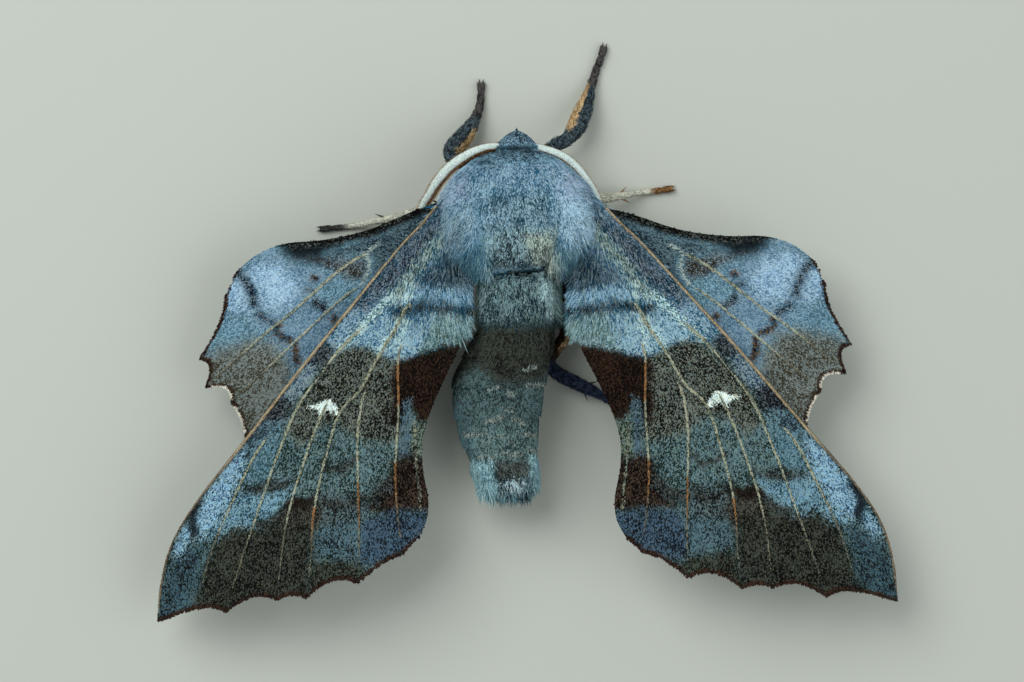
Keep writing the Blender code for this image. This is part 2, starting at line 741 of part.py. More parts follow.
def leg_claws(name, line, collection):
    """The pair of claws at the end of the foot."""
    x, ahead, z, _ = line[-1]
    way = Vector((x, ahead, 0.0)) - Vector((*line[-3][:2], 0.0))
    way.normalize()
    aside = Vector((-way.y, way.x, 0.0))
    claws = []
    for sign in (-1, 1):
        root = Vector((x, ahead, z)) - way * 0.15 + aside * sign * 0.18
        tip = root + way * CLAW_LENGTH + aside * sign * 0.16
        claws.append(make_cone(f"{name}_claw{sign}", root, tip, CLAW_RADIUS, collection))
    return claws


def make_leg(name, stations, collection):
    side = SIDES[name.split("_")[2]]
    path = mirrored(stations, side)
    leg = make_tube(name, path, collection)
    line = smooth_line(path, 4)
    lengths = lengths_along(line, 3)
    join_pieces(leg, leg_spurs(name, line, lengths, collection) + leg_claws(name, line, collection))
    return leg


def dress(thing, finish):
    thing.data.materials.clear()
    thing.data.materials.append(finish_of(finish))


def build():
    clear_scene()
    moth = new_collection("poplar_hawk_moth")
    cutters = new_collection("cutters", hidden=True)

    thorax = make_body("thorax", THORAX_SECTIONS, 2, moth)
    abdomen = make_body("abdomen", ABDOMEN_SECTIONS, 2, moth, segmented=True)
    thorax_room = swollen_copy(thorax, GAP, cutters)
    abdomen_room = swollen_copy(abdomen, GAP, cutters)
    add_locks(thorax, THORAX_SECTIONS, COLLAR_LOCKS + SHOULDER_LOCKS + THORAX_EDGE_LOCKS, moth)
    add_locks(abdomen, ABDOMEN_SECTIONS, ABDOMEN_BASE_LOCKS + TAIL_LOCKS, moth)
    floor = floor_cutter(cutters)

    head = make_body("head", HEAD_SECTIONS, 2, moth)
    head_room = swollen_copy(head, GAP, cutters)
    add_palps(head, moth)
    cut_away(head, [thorax_room])
    for thing in (thorax, abdomen, head):
        dress(thing, "grey_fur")

    for name, side in SIDES.items():
        eye = make_eye(f"eye_{name}", side, moth)
        cut_away(eye, [head_room, thorax_room])
        dress(eye, "eye_black")
        antenna = make_tube(f"antenna_{name}", mirrored(ANTENNA_PATHS[name], side), moth)
        cut_away(antenna, [head_room, thorax_room])
        dress(antenna, "antenna_cream")
        forewing = make_wing(f"forewing_{name}", FOREWING_VEINS, FOREWING_ROWS, 0.0, side, moth)
        hindwing = make_wing(f"hindwing_{name}", HINDWING_VEINS, HINDWING_ROWS, HINDWING_DROP, side, moth)
        for wing in (forewing, hindwing):
            cut_away(wing, [thorax_room, abdomen_room])
            dress(wing, "wing_scales")

    for name, stations in LEG_PATHS.items():
        leg = make_leg(name, stations, moth)
        cut_away(leg, [thorax_room, abdomen_room, head_room, floor])
        dress(leg, "leg_scales")

    for thing in moth.objects:
        thing.data.shade_smooth()
        thing.data.set_sharp_from_angle(angle=math.radians(50))


build()
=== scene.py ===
# %% [markdown]
# # A poplar hawk moth at rest, life size
#
# The moth sits flat with its feet on the floor. Its hindwings are pushed out ahead of its forewings,
# which is how this species always rests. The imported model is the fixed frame: it says where everything
# lies and how big it is. Here each part gets the surface that the real one has: scales on the wings,
# fur on the body, facets on the eyes. One skin takes the place of the solids of the head, thorax and
# abdomen, and lies a little inside them, so that the fur ends where they end.

# %% Load the frame
import math

import bmesh
import bpy
import numpy as np
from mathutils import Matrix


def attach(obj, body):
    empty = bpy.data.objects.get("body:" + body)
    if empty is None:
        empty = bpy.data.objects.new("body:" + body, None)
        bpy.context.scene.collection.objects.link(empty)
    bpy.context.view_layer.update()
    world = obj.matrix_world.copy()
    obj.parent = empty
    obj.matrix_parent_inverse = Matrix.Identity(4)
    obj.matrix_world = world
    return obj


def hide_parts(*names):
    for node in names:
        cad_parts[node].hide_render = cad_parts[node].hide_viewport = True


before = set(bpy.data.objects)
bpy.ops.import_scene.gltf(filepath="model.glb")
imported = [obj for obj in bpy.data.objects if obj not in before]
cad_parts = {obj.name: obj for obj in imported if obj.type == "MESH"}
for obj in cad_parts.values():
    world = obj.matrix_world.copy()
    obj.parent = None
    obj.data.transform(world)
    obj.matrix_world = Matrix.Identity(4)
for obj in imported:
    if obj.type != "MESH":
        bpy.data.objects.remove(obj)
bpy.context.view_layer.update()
print("frame nodes:", len(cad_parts))

# %% [markdown]
# ## Measures and smooth lines
#
# All sizes are in millimetres in the moth's own plan: x to its right, "ahead" forwards from the line
# through the forewing roots, and z up from the floor. They are the solids' own numbers, moved by a few
# tenths where the real moth asks for it. A leg, a feeler or a wing vein is a smooth line through a few
# points. It could be a Blender curve, but thousands of scales have to be placed along it, so it is kept
# as a table of evenly spaced points that NumPy can read at any share of its length.

# %% Measures and smooth lines
MM = 0.001
ROOT_LINE_Y = 9.45
STEPS = 240
SIDES = {"left": -1, "right": 1}
draw = np.random.default_rng(7)


def smooth_line(points, spans=8):
    """Points on a Catmull-Rom curve through the given ones."""
    line = np.array(points, float)
    line = np.vstack([line[:1], line, line[-1:]])
    t = (np.arange(spans) / spans)[:, None]
    parts = []
    for a, b, c, d in zip(line, line[1:], line[2:], line[3:]):
        bend = (2 * a - 5 * b + 4 * c - d) * t**2 + (3 * b - a - 3 * c + d) * t**3
        parts.append(0.5 * (2 * b + (c - a) * t + bend))
    return np.vstack([*parts, line[-1:]])


def even_table(line, axes):
    """The same line at even steps of its length, and its length."""
    hops = np.linalg.norm(np.diff(line[:, :axes], axis=0), axis=1)
    gone = np.concatenate([[0.0], np.cumsum(hops)])
    marks = np.linspace(0.0, gone[-1], STEPS + 1)
    return np.stack([np.interp(marks, gone, column) for column in line.T], -1), gone[-1]


def ease(value, low, high):
    """0 below low, 1 above high, and smooth between."""
    t = np.clip((value - low) / (high - low), 0.0, 1.0)
    return t * t * (3 - 2 * t)


def unit(vectors):
    return vectors / np.maximum(np.linalg.norm(vectors, axis=-1, keepdims=True), 1e-9)


# %% [markdown]
# ## Meshes from arrays
#
# A wing carries tens of thousands of scales. Particle hair or instances would place them quickly, but
# they are lost when the model is exported. So each scale is a tiny closed solid, and all the scales of
# one side of a wing are one mesh, written in one go from arrays. A scale is a flat kite of four
# triangles with a low ridge. A tuft of fur is a longer leaf of six triangles that bends over towards
# its tip. Each one also gets a small patch of its own in the map "OFBake", at the place of its root on
# the unrolled skin, so that its colour can be baked there.

# %% Meshes from arrays
BAKE_PATCH = 0.003
# Points of a scale and of a tuft: shares of the length, the width, the lift and the thickness.
SCALE_POINTS = np.array([(0, 0, 0, 0), (0.58, -0.5, 0.45, -1), (0.58, 0.5, 0.45, -1), (1, 0, 1, 0)], float)
SCALE_FACES = np.array([(0, 2, 3), (0, 3, 1), (0, 1, 2), (1, 3, 2)])
TUFT_POINTS = np.array([(0, 0, 0, 0), (0.4, -0.5, 0.62, 0), (0.4, 0.5, 0.62, 0), (0.4, 0, 0.62, 1),
                        (1, 0, 1, 0)], float)
TUFT_FACES = np.array([(0, 2, 3), (0, 3, 1), (3, 2, 4), (1, 3, 4), (0, 1, 2), (1, 4, 2)])


def new_piece(name, points, faces, material, values=None, bake_map=None, smooth=False):
    """A mesh of the moth from arrays, with named numbers at its points, that rides on the body."""
    mesh = bpy.data.meshes.new(name)
    mesh.vertices.add(len(points))
    placed = (points + np.array([0.0, ROOT_LINE_Y, 0.0])) * MM
    mesh.vertices.foreach_set("co", placed.astype(np.float32).ravel())
    mesh.loops.add(faces.size)
    mesh.loops.foreach_set("vertex_index", faces.astype(np.int32).ravel())
    mesh.polygons.add(len(faces))
    mesh.polygons.foreach_set("loop_start", np.arange(0, faces.size, faces.shape[1], dtype=np.int32))
    for key, numbers in (values or {}).items():
        mesh.attributes.new(key, "FLOAT", "POINT").data.foreach_set("value", numbers.astype(np.float32))
    if bake_map is not None:
        mesh.uv_layers.new(name="OFBake").data.foreach_set("uv", bake_map.astype(np.float32).ravel())
    mesh.update(calc_edges=True)
    mesh.polygons.foreach_set("use_smooth", np.full(len(faces), smooth))
    mesh.materials.append(material)
    piece = bpy.data.objects.new(name, mesh)
    bpy.context.scene.collection.objects.link(piece)
    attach(piece, "root")
    triangles = len(faces) * (faces.shape[1] - 2)
    print(f"{name}: {triangles} triangles")
    return piece


def grow(shape, shape_faces, roots, along, outward, length, width, lift, thickness, places):
    """Points, faces and bake map of many scales or tufts. `places` is each root on the unwrap."""
    aside = unit(np.cross(along, outward))
    forth, across, up, thick = (shape[:, k][None, :, None] for k in range(4))
    size = [value[:, None, None] for value in (length, width, lift, thickness)]
    points = roots[:, None] + along[:, None] * forth * size[0] + aside[:, None] * across * size[1]
    points = points + outward[:, None] * (up * size[2] + thick * size[3])
    count = len(roots)
    faces = (np.arange(count)[:, None, None] * len(shape) + shape_faces).reshape(-1, 3)
    patch = np.stack([shape[:, 1], shape[:, 0] - 0.5], -1) * BAKE_PATCH
    spots = (places[:, None] + patch).reshape(-1, 2)
    return points.reshape(-1, 3), faces, spots[faces.ravel()]


def each_point(values, shape):
    """Numbers for each root, repeated for all the points of its scale or tuft."""
    return {key: np.repeat(numbers, len(shape)) for key, numbers in values.items()}


# %% [markdown]
# ## Markings without a picture
#
# The pattern of the wings is drawn as named outlines in the plan, as a maker would pencil them on the
# wing before painting. Each point of the mesh stores how far inside an outline it lies. The material
# turns that distance into a mask and lets noise fray its edge, so the edges break up scale by scale as
# the real ones do. An image of the pattern would be simpler, but it would fix the detail at one size
# and bring its own light.

# %% Distance to an outline
DISTANCE_LIMIT = 4.0
TINY = 1e-9


def inside(places, outlines):
    """How far inside the nearest of some closed outlines each place lies, in mm; below zero outside."""
    best = np.full(len(places), -np.inf)
    for outline in outlines:
        a = np.array(outline, float)
        edge = np.roll(a, -1, axis=0) - a
        to = places[:, None] - a
        t = np.clip((to * edge).sum(-1) / np.maximum((edge**2).sum(-1), TINY), 0, 1)
        gap = np.sqrt(((to - t[..., None] * edge) ** 2).sum(-1)).min(1)
        b = a + edge
        spans = (a[:, 1] > places[:, None, 1]) != (b[:, 1] > places[:, None, 1])
        rise = np.where(np.abs(edge[:, 1]) < TINY, TINY, edge[:, 1])
        cross = a[:, 0] + (places[:, None, 1] - a[:, 1]) / rise * edge[:, 0]
        odd = (spans & (places[:, None, 0] < cross)).sum(1) % 2 == 1
        best = np.maximum(best, np.where(odd, gap, -gap))
    return np.clip(best, -DISTANCE_LIMIT, DISTANCE_LIMIT)


def stroke(points, width):
    """The outline of a stroke of that width along a line of points."""
    line = np.array(points, float)
    way = unit(np.gradient(line, axis=0))
    aside = np.stack([-way[:, 1], way[:, 0]], -1) * width / 2
    return np.vstack([line + aside, (line - aside)[::-1]])

# %% [markdown]
# ## Shader groups
#
# Four effects are used by nearly every material here, so each is a node group with named sockets, built
# once: the frayed noise that breaks every edge, one marking laid over those before it, the choice
# between dark and pale scales, and the fine relief. Two colours go through the markings side by side,
# that of the ground scales and that of the flecks among them, because the moth's grey is really black
# and white scales mixed like salt and pepper.

# %% Node helpers
def add(tree, kind, settings=None, **sockets):
    """A node with its settings. A socket is named, or numbered as _0, and given a value or a link."""
    made = tree.nodes.new(kind)
    for key, value in (settings or {}).items():
        setattr(made, key, value)
    for key, value in sockets.items():
        socket = made.inputs[int(key[1:])] if key[0] == "_" else made.inputs[key.replace("_", " ")]
        if isinstance(value, bpy.types.NodeSocket):
            tree.links.new(value, socket)
        else:
            socket.default_value = value
    return made


def maths(tree, operation, *values):
    numbered = {f"_{i}": value for i, value in enumerate(values)}
    return add(tree, "ShaderNodeMath", {"operation": operation}, **numbered).outputs[0]


def mix_colours(tree, factor, first, second):
    return add(tree, "ShaderNodeMix", {"data_type": "RGBA"}, _0=factor, _6=first, _7=second).outputs[2]


def mix_numbers(tree, factor, first, second):
    return add(tree, "ShaderNodeMix", {"data_type": "FLOAT"}, _0=factor, _2=first, _3=second).outputs[0]


def ramp(tree, value, low, high, to_low=0.0, to_high=1.0, kind="LINEAR"):
    """A number stretched from one range to another and held at its ends."""
    return add(tree, "ShaderNodeMapRange", {"interpolation_type": kind}, Value=value, From_Min=low,
               From_Max=high, To_Min=to_low, To_Max=to_high).outputs[0]


def noise_at(tree, scale, detail, roughness=0.5):
    """Noise in the moth's own space, so that neighbouring scales share it."""
    place = add(tree, "ShaderNodeTexCoord").outputs["Object"]
    return add(tree, "ShaderNodeTexNoise", Vector=place, Scale=scale, Detail=detail,
               Roughness=roughness).outputs["Fac"]


def mesh_number(tree, name):
    return add(tree, "ShaderNodeAttribute", {"attribute_name": name}).outputs["Fac"]


def new_group(name, inputs, outputs):
    """An empty shader group, with its input sockets to read and its output sockets to fill."""
    group = bpy.data.node_groups.new(name, "ShaderNodeTree")
    for label, value in inputs.items():
        kind = "NodeSocketColor" if isinstance(value, tuple) else "NodeSocketFloat"
        group.interface.new_socket(label, in_out="INPUT", socket_type=kind).default_value = value
    for label, kind in outputs.items():
        group.interface.new_socket(label, in_out="OUTPUT", socket_type="NodeSocket" + kind)
    return group, add(group, "NodeGroupInput").outputs, add(group, "NodeGroupOutput").inputs


def use_group(tree, group, **sockets):
    return add(tree, "ShaderNodeGroup", {"node_tree": group}, **sockets).outputs


def new_material(name):
    material = bpy.data.materials.new(name)
    material.use_nodes = True
    return material, material.node_tree, material.node_tree.nodes["Principled BSDF"].inputs


def rgba(colour):
    return (*colour, 1.0)


GREY = (0.2, 0.2, 0.2, 1.0)
WHITE = (1.0, 1.0, 1.0, 1.0)

# %% Group: frayed noise
# How many times each noise repeats in a millimetre.
CLOUDS, PATCHES, SPECKS = 0.5, 2.3, 8.5
GRAIN_IN_FRAY = 0.7

fray, given, out = new_group("frayed_noise", {"Size": 0.8, "Grain": 0.5},
                             {label: "Float" for label in ("Wobble", "Fine", "Cloud", "Patch")})
coarse = noise_at(fray, maths(fray, "DIVIDE", 1 / MM, given["Size"]), 4.0, 0.75)
mixed = maths(fray, "MULTIPLY_ADD", given["Grain"], GRAIN_IN_FRAY, coarse)
fray.links.new(maths(fray, "SUBTRACT", mixed, (1 + GRAIN_IN_FRAY) / 2), out["Wobble"])
fray.links.new(noise_at(fray, SPECKS / MM, 2.0, 0.7), out["Fine"])
fray.links.new(noise_at(fray, CLOUDS / MM, 3.0, 0.65), out["Cloud"])
fray.links.new(noise_at(fray, PATCHES / MM, 2.0, 0.6), out["Patch"])

# %% Group: one marking over the ones before it
marking, given, out = new_group(
    "marking",
    {"Distance": 0.0, "Wobble": 0.0, "Fray": 0.5, "Softness": 0.3, "Ground": GREY, "Fleck": GREY,
     "Share": 0.5, "New ground": GREY, "New fleck": GREY, "New share": 0.5},
    {"Ground": "Color", "Fleck": "Color", "Share": "Float"},
)
moved = maths(marking, "MULTIPLY_ADD", given["Wobble"], given["Fray"], given["Distance"])
edge = maths(marking, "MULTIPLY", given["Softness"], 0.5)
front = maths(marking, "MULTIPLY", given["Softness"], -0.5)
mask = ramp(marking, moved, front, edge, kind="SMOOTHSTEP")
for label, mix in (("Ground", mix_colours), ("Fleck", mix_colours), ("Share", mix_numbers)):
    marking.links.new(mix(marking, mask, given[label], given["New " + label.lower()]), out[label])

# %% Group: ground or fleck, scale by scale
CLOUD_WEIGHT, PATCH_WEIGHT, GRAIN_WEIGHT, FINE_WEIGHT = 1.1, 0.7, 1.15, 1.8
FEW_PALE, MANY_PALE = 0.42, 0.56
COOL_TINT, WARM_TINT = (0.70, 0.92, 1.14, 1.0), (1.36, 1.10, 0.80, 1.0)
TINT_DRAW = 13.7

grain_tone, given, out = new_group(
    "grain_tone",
    {"Ground": GREY, "Fleck": GREY, "Share": 0.5, "Grain": 0.5, "Fine": 0.5, "Cloud": 0.5, "Patch": 0.5,
     "Warmth": 1.0},
    {"Color": "Color"},
)
clouded = maths(grain_tone, "MULTIPLY_ADD", given["Cloud"], CLOUD_WEIGHT, given["Share"])
threshold = maths(grain_tone, "SUBTRACT", 1 + CLOUD_WEIGHT / 2, clouded)
# Where pale scales are many they lie in loose patches; where they are few they are lone specks.
patchy = ramp(grain_tone, given["Share"], FEW_PALE, MANY_PALE)
half_step = maths(grain_tone, "MULTIPLY_ADD", patchy, 0.2, 0.1)
by_scale = maths(grain_tone, "MULTIPLY", given["Grain"], GRAIN_WEIGHT)
speckled = maths(grain_tone, "MULTIPLY_ADD", given["Fine"], FINE_WEIGHT, by_scale)
speckled = maths(grain_tone, "SUBTRACT", speckled, (FINE_WEIGHT + GRAIN_WEIGHT) / 2)
calmed = maths(grain_tone, "MULTIPLY_ADD", patchy, -0.15, 1.0)
speckled = maths(grain_tone, "MULTIPLY", speckled, calmed)
drift = maths(grain_tone, "MULTIPLY_ADD", given["Patch"], PATCH_WEIGHT, -PATCH_WEIGHT / 2)
drift = maths(grain_tone, "MULTIPLY", drift, patchy)
speckled = maths(grain_tone, "ADD", maths(grain_tone, "ADD", speckled, drift), 0.5)
pick = ramp(grain_tone, speckled, maths(grain_tone, "SUBTRACT", threshold, half_step),
            maths(grain_tone, "ADD", threshold, half_step), kind="SMOOTHSTEP")
chosen = mix_colours(grain_tone, pick, given["Ground"], given["Fleck"])
# The same random number, drawn out and folded, gives each scale a cool or warm tint of its own.
second = maths(grain_tone, "FRACT", maths(grain_tone, "MULTIPLY", given["Grain"], TINT_DRAW))
tint = mix_colours(grain_tone, second, COOL_TINT, WARM_TINT)
tint = mix_colours(grain_tone, given["Warmth"], WHITE, tint)
tinted = add(grain_tone, "ShaderNodeVectorMath", {"operation": "MULTIPLY"}, _0=chosen, _1=tint)
shade = ramp(grain_tone, given["Fine"], 0.25, 0.75, 0.78, 1.22)
shaded = add(grain_tone, "ShaderNodeVectorMath", {"operation": "SCALE"}, _0=tinted.outputs[0], Scale=shade)
grain_tone.links.new(shaded.outputs[0], out["Color"])

# %% Group: fine relief
relief, given, out = new_group("fine_relief", {"Size": 0.1}, {"Height": "Float"})
relief.links.new(noise_at(relief, maths(relief, "DIVIDE", 1 / MM, given["Size"]), 2.0), out["Height"])

# %% A material from a list of markings
BUMP_DEPTH = 0.012
ROUGHNESS_RANGE = 0.08
SHEEN_LEVEL = 0.05


def marked_material(name, base, layers, roughness, fray_size=0.8, relief_size=0.08, warmth=1.0):
    """A material of scales or fur: a base, then markings, each a mask from a number on the mesh."""
    material, tree, inputs = new_material(name)
    grain = mesh_number(tree, "grain")
    noise = use_group(tree, fray, Size=fray_size, Grain=grain)
    ground, fleck, share = rgba(base["ground"]), rgba(base["fleck"]), base["share"]
    for one in layers:
        ground, fleck, share = use_group(
            tree, marking, Distance=mesh_number(tree, "m_" + one["name"]), Wobble=noise["Wobble"],
            Fray=one["fray"], Softness=one["soft"], Ground=ground, Fleck=fleck, Share=share,
            New_ground=rgba(one["ground"]), New_fleck=rgba(one["fleck"]), New_share=one["share"])
    tone = use_group(tree, grain_tone, Ground=ground, Fleck=fleck, Share=share, Grain=grain, Warmth=warmth,
                     **{label: noise[label] for label in ("Fine", "Cloud", "Patch")})
    tree.links.new(tone["Color"], inputs["Base Color"])
    rough = ramp(tree, noise["Fine"], 0, 1, roughness - ROUGHNESS_RANGE, roughness + ROUGHNESS_RANGE)
    tree.links.new(rough, inputs["Roughness"])
    height = use_group(tree, relief, Size=relief_size)["Height"]
    bump = add(tree, "ShaderNodeBump", Strength=0.5, Distance=BUMP_DEPTH * MM, Height=height)
    tree.links.new(bump.outputs["Normal"], inputs["Normal"])
    inputs["Specular IOR Level"].default_value = SHEEN_LEVEL
    return material


def layer(name, ground, fleck, share, soft, frays, *outlines):
    return {"name": name, "ground": ground, "fleck": fleck, "share": share, "soft": soft, "fray": frays,
            "outlines": outlines}


def distances(places, layers):
    """The numbers that a material's markings read, for places of the plan."""
    return {"m_" + one["name"]: inside(places, one["outlines"]) for one in layers if one["outlines"]}

# %% [markdown]
# ## Wings: the plan
#
# Each vein is a track from the wing's root to its margin. A place on the wing is given by two numbers:
# how many veins behind the leading edge it is, and the share of the way from root to margin. The margin
# is cut in between the ends of the veins, which gives the ragged outline of a dead poplar leaf. The
# tracks are those of the solid wings, apart from the leading edge's near the root, which lies a little
# farther ahead.

# %% Wing tracks
FOREWING_VEINS = [
    {"track": [(5.0, 1.2), (6.6, 0.05), (8.2, -1.7), (9.8, -3.3), (13.2, -7.25), (17.4, -12.1),
               (22.4, -18.2), (25.95, -22.4), (27.9, -25.4), (28.85, -28.45), (29.15, -31.95)],
     "ridge": (0.0, 0.97), "bay": 0.0},
    {"track": [(5.0, -0.3), (10.5, -4.9), (14.1, -9.2), (18.6, -14.7), (22.5, -19.4), (25.3, -23.5),
               (26.9, -26.8), (27.7, -29.5), (27.95, -31.6)], "ridge": None, "bay": 0.1},
    {"track": [(5.0, -0.8), (9.9, -5.8), (13.6, -9.9), (17.3, -14.6), (20.7, -18.3), (22.7, -22.0),
               (24.5, -26.0), (25.5, -29.4), (25.7, -31.0)], "ridge": (0.6, 0.94), "bay": 0.25},
    {"track": [(4.9, -1.3), (7.9, -4.7), (11.3, -8.2), (14.7, -11.4), (17.6, -15.2), (19.1, -18.5),
               (20.8, -23.2), (22.4, -28.0), (23.4, -31.3)], "ridge": (0.3, 0.97), "bay": 0.75},
    {"track": [(4.9, -1.8), (7.7, -5.3), (9.9, -8.1), (12.3, -10.9), (14.3, -13.5), (15.7, -15.8),
               (17.3, -20.0), (18.6, -24.7), (19.2, -30.45)], "ridge": (0.5, 0.97), "bay": 0.35},
    {"track": [(4.8, -2.2), (7.3, -5.5), (9.2, -8.1), (10.1, -9.8), (11.6, -12.2), (12.7, -14.2),
               (14.3, -15.9), (15.2, -18.5), (16.3, -23.5), (16.5, -27.5), (16.8, -30.4)],
     "ridge": (0.2, 0.97), "bay": 0.85},
    {"track": [(4.8, -2.7), (6.9, -5.8), (8.5, -8.3), (9.6, -10.4), (11.2, -12.9), (12.4, -14.6),
               (12.85, -17.2), (12.85, -20.0), (12.65, -24.9), (12.6, -29.4)], "ridge": (0.455, 0.97),
     "bay": 0.35},
    {"track": [(4.7, -3.2), (6.5, -6.0), (8.0, -8.3), (9.2, -10.3), (9.75, -12.2), (9.65, -15.8),
               (9.8, -20.5), (9.6, -23.8), (9.1, -27.3)], "ridge": (0.34, 0.97), "bay": 0.15},
    {"track": [(4.5, -3.8), (4.4, -6.4), (4.2, -8.8), (4.7, -11.0), (5.7, -13.2), (6.8, -15.6),
               (7.6, -18.2), (7.6, -20.6), (7.1, -23.0), (7.2, -24.7), (7.9, -26.1)], "ridge": None,
     "bay": 0.0},
]
HINDWING_VEINS = [
    {"track": [(5.0, 0.1), (8.9, -0.95), (12.7, -2.3), (16.2, -2.9), (19.4, -3.0), (21.6, -3.7),
               (23.2, -4.9)], "ridge": None, "bay": -0.25},
    {"track": [(5.0, -0.5), (11.5, -2.9), (17.0, -4.2), (21.0, -5.4), (24.1, -7.0)], "ridge": None,
     "bay": 0.55},
    {"track": [(5.0, -1.0), (12.0, -3.6), (17.6, -6.2), (22.4, -9.2), (26.1, -11.6)], "ridge": None,
     "bay": 0.75},
    {"track": [(4.9, -1.5), (10.6, -3.5), (12.9, -4.2), (15.1, -5.4), (18.9, -8.5), (21.4, -10.35),
               (25.6, -13.9)], "ridge": (0.34, 0.98), "bay": 0.85},
    {"track": [(4.9, -2.0), (9.6, -4.7), (13.3, -6.6), (15.0, -7.7), (18.0, -10.3), (19.9, -12.0),
               (23.5, -15.2)], "ridge": (0.42, 0.98), "bay": 0.35},
    {"track": [(4.9, -2.4), (9.4, -5.6), (13.0, -9.2), (17.2, -13.4), (20.9, -17.0), (22.2, -18.6)],
     "ridge": (0.25, 0.97), "bay": 0.5},
    {"track": [(4.8, -2.8), (8.8, -6.6), (12.4, -11.4), (16.0, -16.6), (18.4, -21.0)],
     "ridge": (0.3, 0.97), "bay": 0.5},
    {"track": [(4.7, -3.2), (7.8, -7.2), (10.4, -12.0), (12.4, -17.0), (13.6, -21.4)],
     "ridge": (0.3, 0.97), "bay": 0.3},
    {"track": [(4.6, -3.6), (5.7, -7.0), (6.6, -10.8), (8.0, -14.6), (9.8, -17.4)], "ridge": None,
     "bay": 0.0},
]

# %% From wing coordinates to the moth
WING_ROOT_Z = 7.7
WING_INNER_X = 5.5
WING_REACH = 23.4
WING_DEPTH = 26.0
WING_RISE = 0.8
WING_DROOP = 3.2
INNER_LEAN = 1.1
HINDWING_DROP = 1.35
PLEAT = 0.14
# How a wing is fitted to its side: width, skew and shift across, then lift, length and shift ahead.
WING_AS_DRAWN = (1.0, 0.0, 0.0, 0.0, 1.0, 0.0)
WING_SETS = {
    "forewing_left": (0.96, -0.05, -0.545, -0.015, 0.998, 0.44),
    "hindwing_left": (1.0, -0.045, -1.5, -0.033, 0.998, 1.14),
}
# Small steps along and across a wing, to find its directions.
STEP_ALONG, STEP_ACROSS = 0.004, 0.02
UNRAISED = 0.15


def wing_plan(name, veins, drop):
    """What is needed to place things on one wing."""
    tables, lengths = zip(*(even_table(smooth_line(vein["track"]), 2) for vein in veins))
    return {"name": name, "side": SIDES[name.split("_")[1]], "drop": drop, "tables": np.array(tables),
            "lengths": np.array(lengths), "bays": np.array([vein["bay"] for vein in veins]),
            "ridges": [vein["ridge"] for vein in veins], "last": len(veins) - 1.0}


def bay_of(wing, across):
    """The number of the bay between two veins, and the share of the way over it."""
    i = np.clip(across.astype(int), 0, len(wing["lengths"]) - 2)
    return i, across - i


def in_plan(wing, across, along):
    """Where wing coordinates fall in the drawn plan, and how deep in the hollow between two veins."""
    i, t = bay_of(wing, across)
    hollow = 4 * t * (1 - t)
    held = along - wing["bays"][i] * hollow / wing["lengths"][i] * along**3
    spot = np.clip(held, 0, 1) * STEPS
    j = np.clip(spot.astype(int), 0, STEPS - 1)
    u = (spot - j)[..., None]
    tables = wing["tables"]
    a = tables[i, j] * (1 - u) + tables[i, j + 1] * u
    b = tables[i + 1, j] * (1 - u) + tables[i + 1, j + 1] * u
    return a + (b - a) * t[..., None], hollow


def on_wing(wing, across, along):
    """Places on the wing's middle surface, in the moth's own millimetres."""
    plan, hollow = in_plan(wing, across, along)
    x, ahead = plan[..., 0], plan[..., 1]
    out = np.clip((np.abs(x) - WING_INNER_X) / WING_REACH, 0, 1)
    back = np.clip(-ahead / WING_DEPTH, 0, 1)
    z = WING_ROOT_Z + WING_RISE * np.sin(np.pi * out) - WING_DROOP * out**2 - INNER_LEAN * back * (1 - out)
    z = z - wing["drop"] - PLEAT * hollow * along
    wide, skew, inward, lift, long, forward = WING_SETS.get(wing["name"], WING_AS_DRAWN)
    across_moth = wing["side"] * (wide * x + skew * ahead + inward)
    return np.stack([across_moth, lift * x + long * ahead + forward, z], -1)


def wing_directions(wing, across, along, face):
    """At places on the wing: the way to the margin, and that face's normal (1 above, -1 below)."""
    far = np.minimum(along + STEP_ALONG, 1.0)
    inner = np.minimum(across + STEP_ACROSS, wing["last"])
    to_margin = unit(on_wing(wing, across, far) - on_wing(wing, across, far - STEP_ALONG))
    to_inner = unit(on_wing(wing, inner, along) - on_wing(wing, inner - STEP_ACROSS, along))
    normal = unit(np.cross(to_margin, to_inner))
    return to_margin, normal * np.sign(normal[..., 2:]) * face


# %% Places beside a vein
def vein_gap(wing, across, along):
    """The distance to the nearest raised vein in mm, how far its ridge is raised, and its number."""
    i, t = bay_of(wing, across)
    j = np.clip((along * STEPS).astype(int), 0, STEPS)
    room = np.linalg.norm(wing["tables"][i, j] - wing["tables"][i + 1, j], axis=-1)
    raised = np.zeros((len(wing["ridges"]), STEPS + 1))
    shares = np.linspace(0, 1, STEPS + 1)
    for number, ridge in enumerate(wing["ridges"]):
        if ridge:
            starts = ease(shares, ridge[0] - 0.04, ridge[0] + 0.04)
            raised[number] = starts * (1 - ease(shares, 0.93, 1.0))
    gaps = np.stack([t * room + UNRAISED * (1 - raised[i, j]),
                     (1 - t) * room + UNRAISED * (1 - raised[i + 1, j])])
    nearer = gaps.argmin(0)
    return gaps.min(0), np.where(nearer == 0, raised[i, j], raised[i + 1, j]), i + nearer


def on_costa(wing, number):
    """Whether that vein is the leading edge's own, which only the forewing bears."""
    return (number == 0) & (wing["ridges"][0] is not None)


forewings = {side: wing_plan("forewing_" + side, FOREWING_VEINS, 0.0) for side in SIDES}
hindwings = {side: wing_plan("hindwing_" + side, HINDWING_VEINS, HINDWING_DROP) for side in SIDES}
print("forewing margin at", on_wing(forewings["right"], np.array([0.0]), np.array([1.0])).round(1))

# %% [markdown]
# ## Wings: the markings
#
# A poplar hawk moth is marked like dead leaves and bark: a frosted blue-grey base, a dark band over the
# middle of the wing, a white crescent at the end of the cell, and a bloom of pale blue towards the tip.
# Each marking below is one outline in the plan with the two colours of scales that it is mixed from,
# and the share of the pale ones. They are laid in order, as washes are.

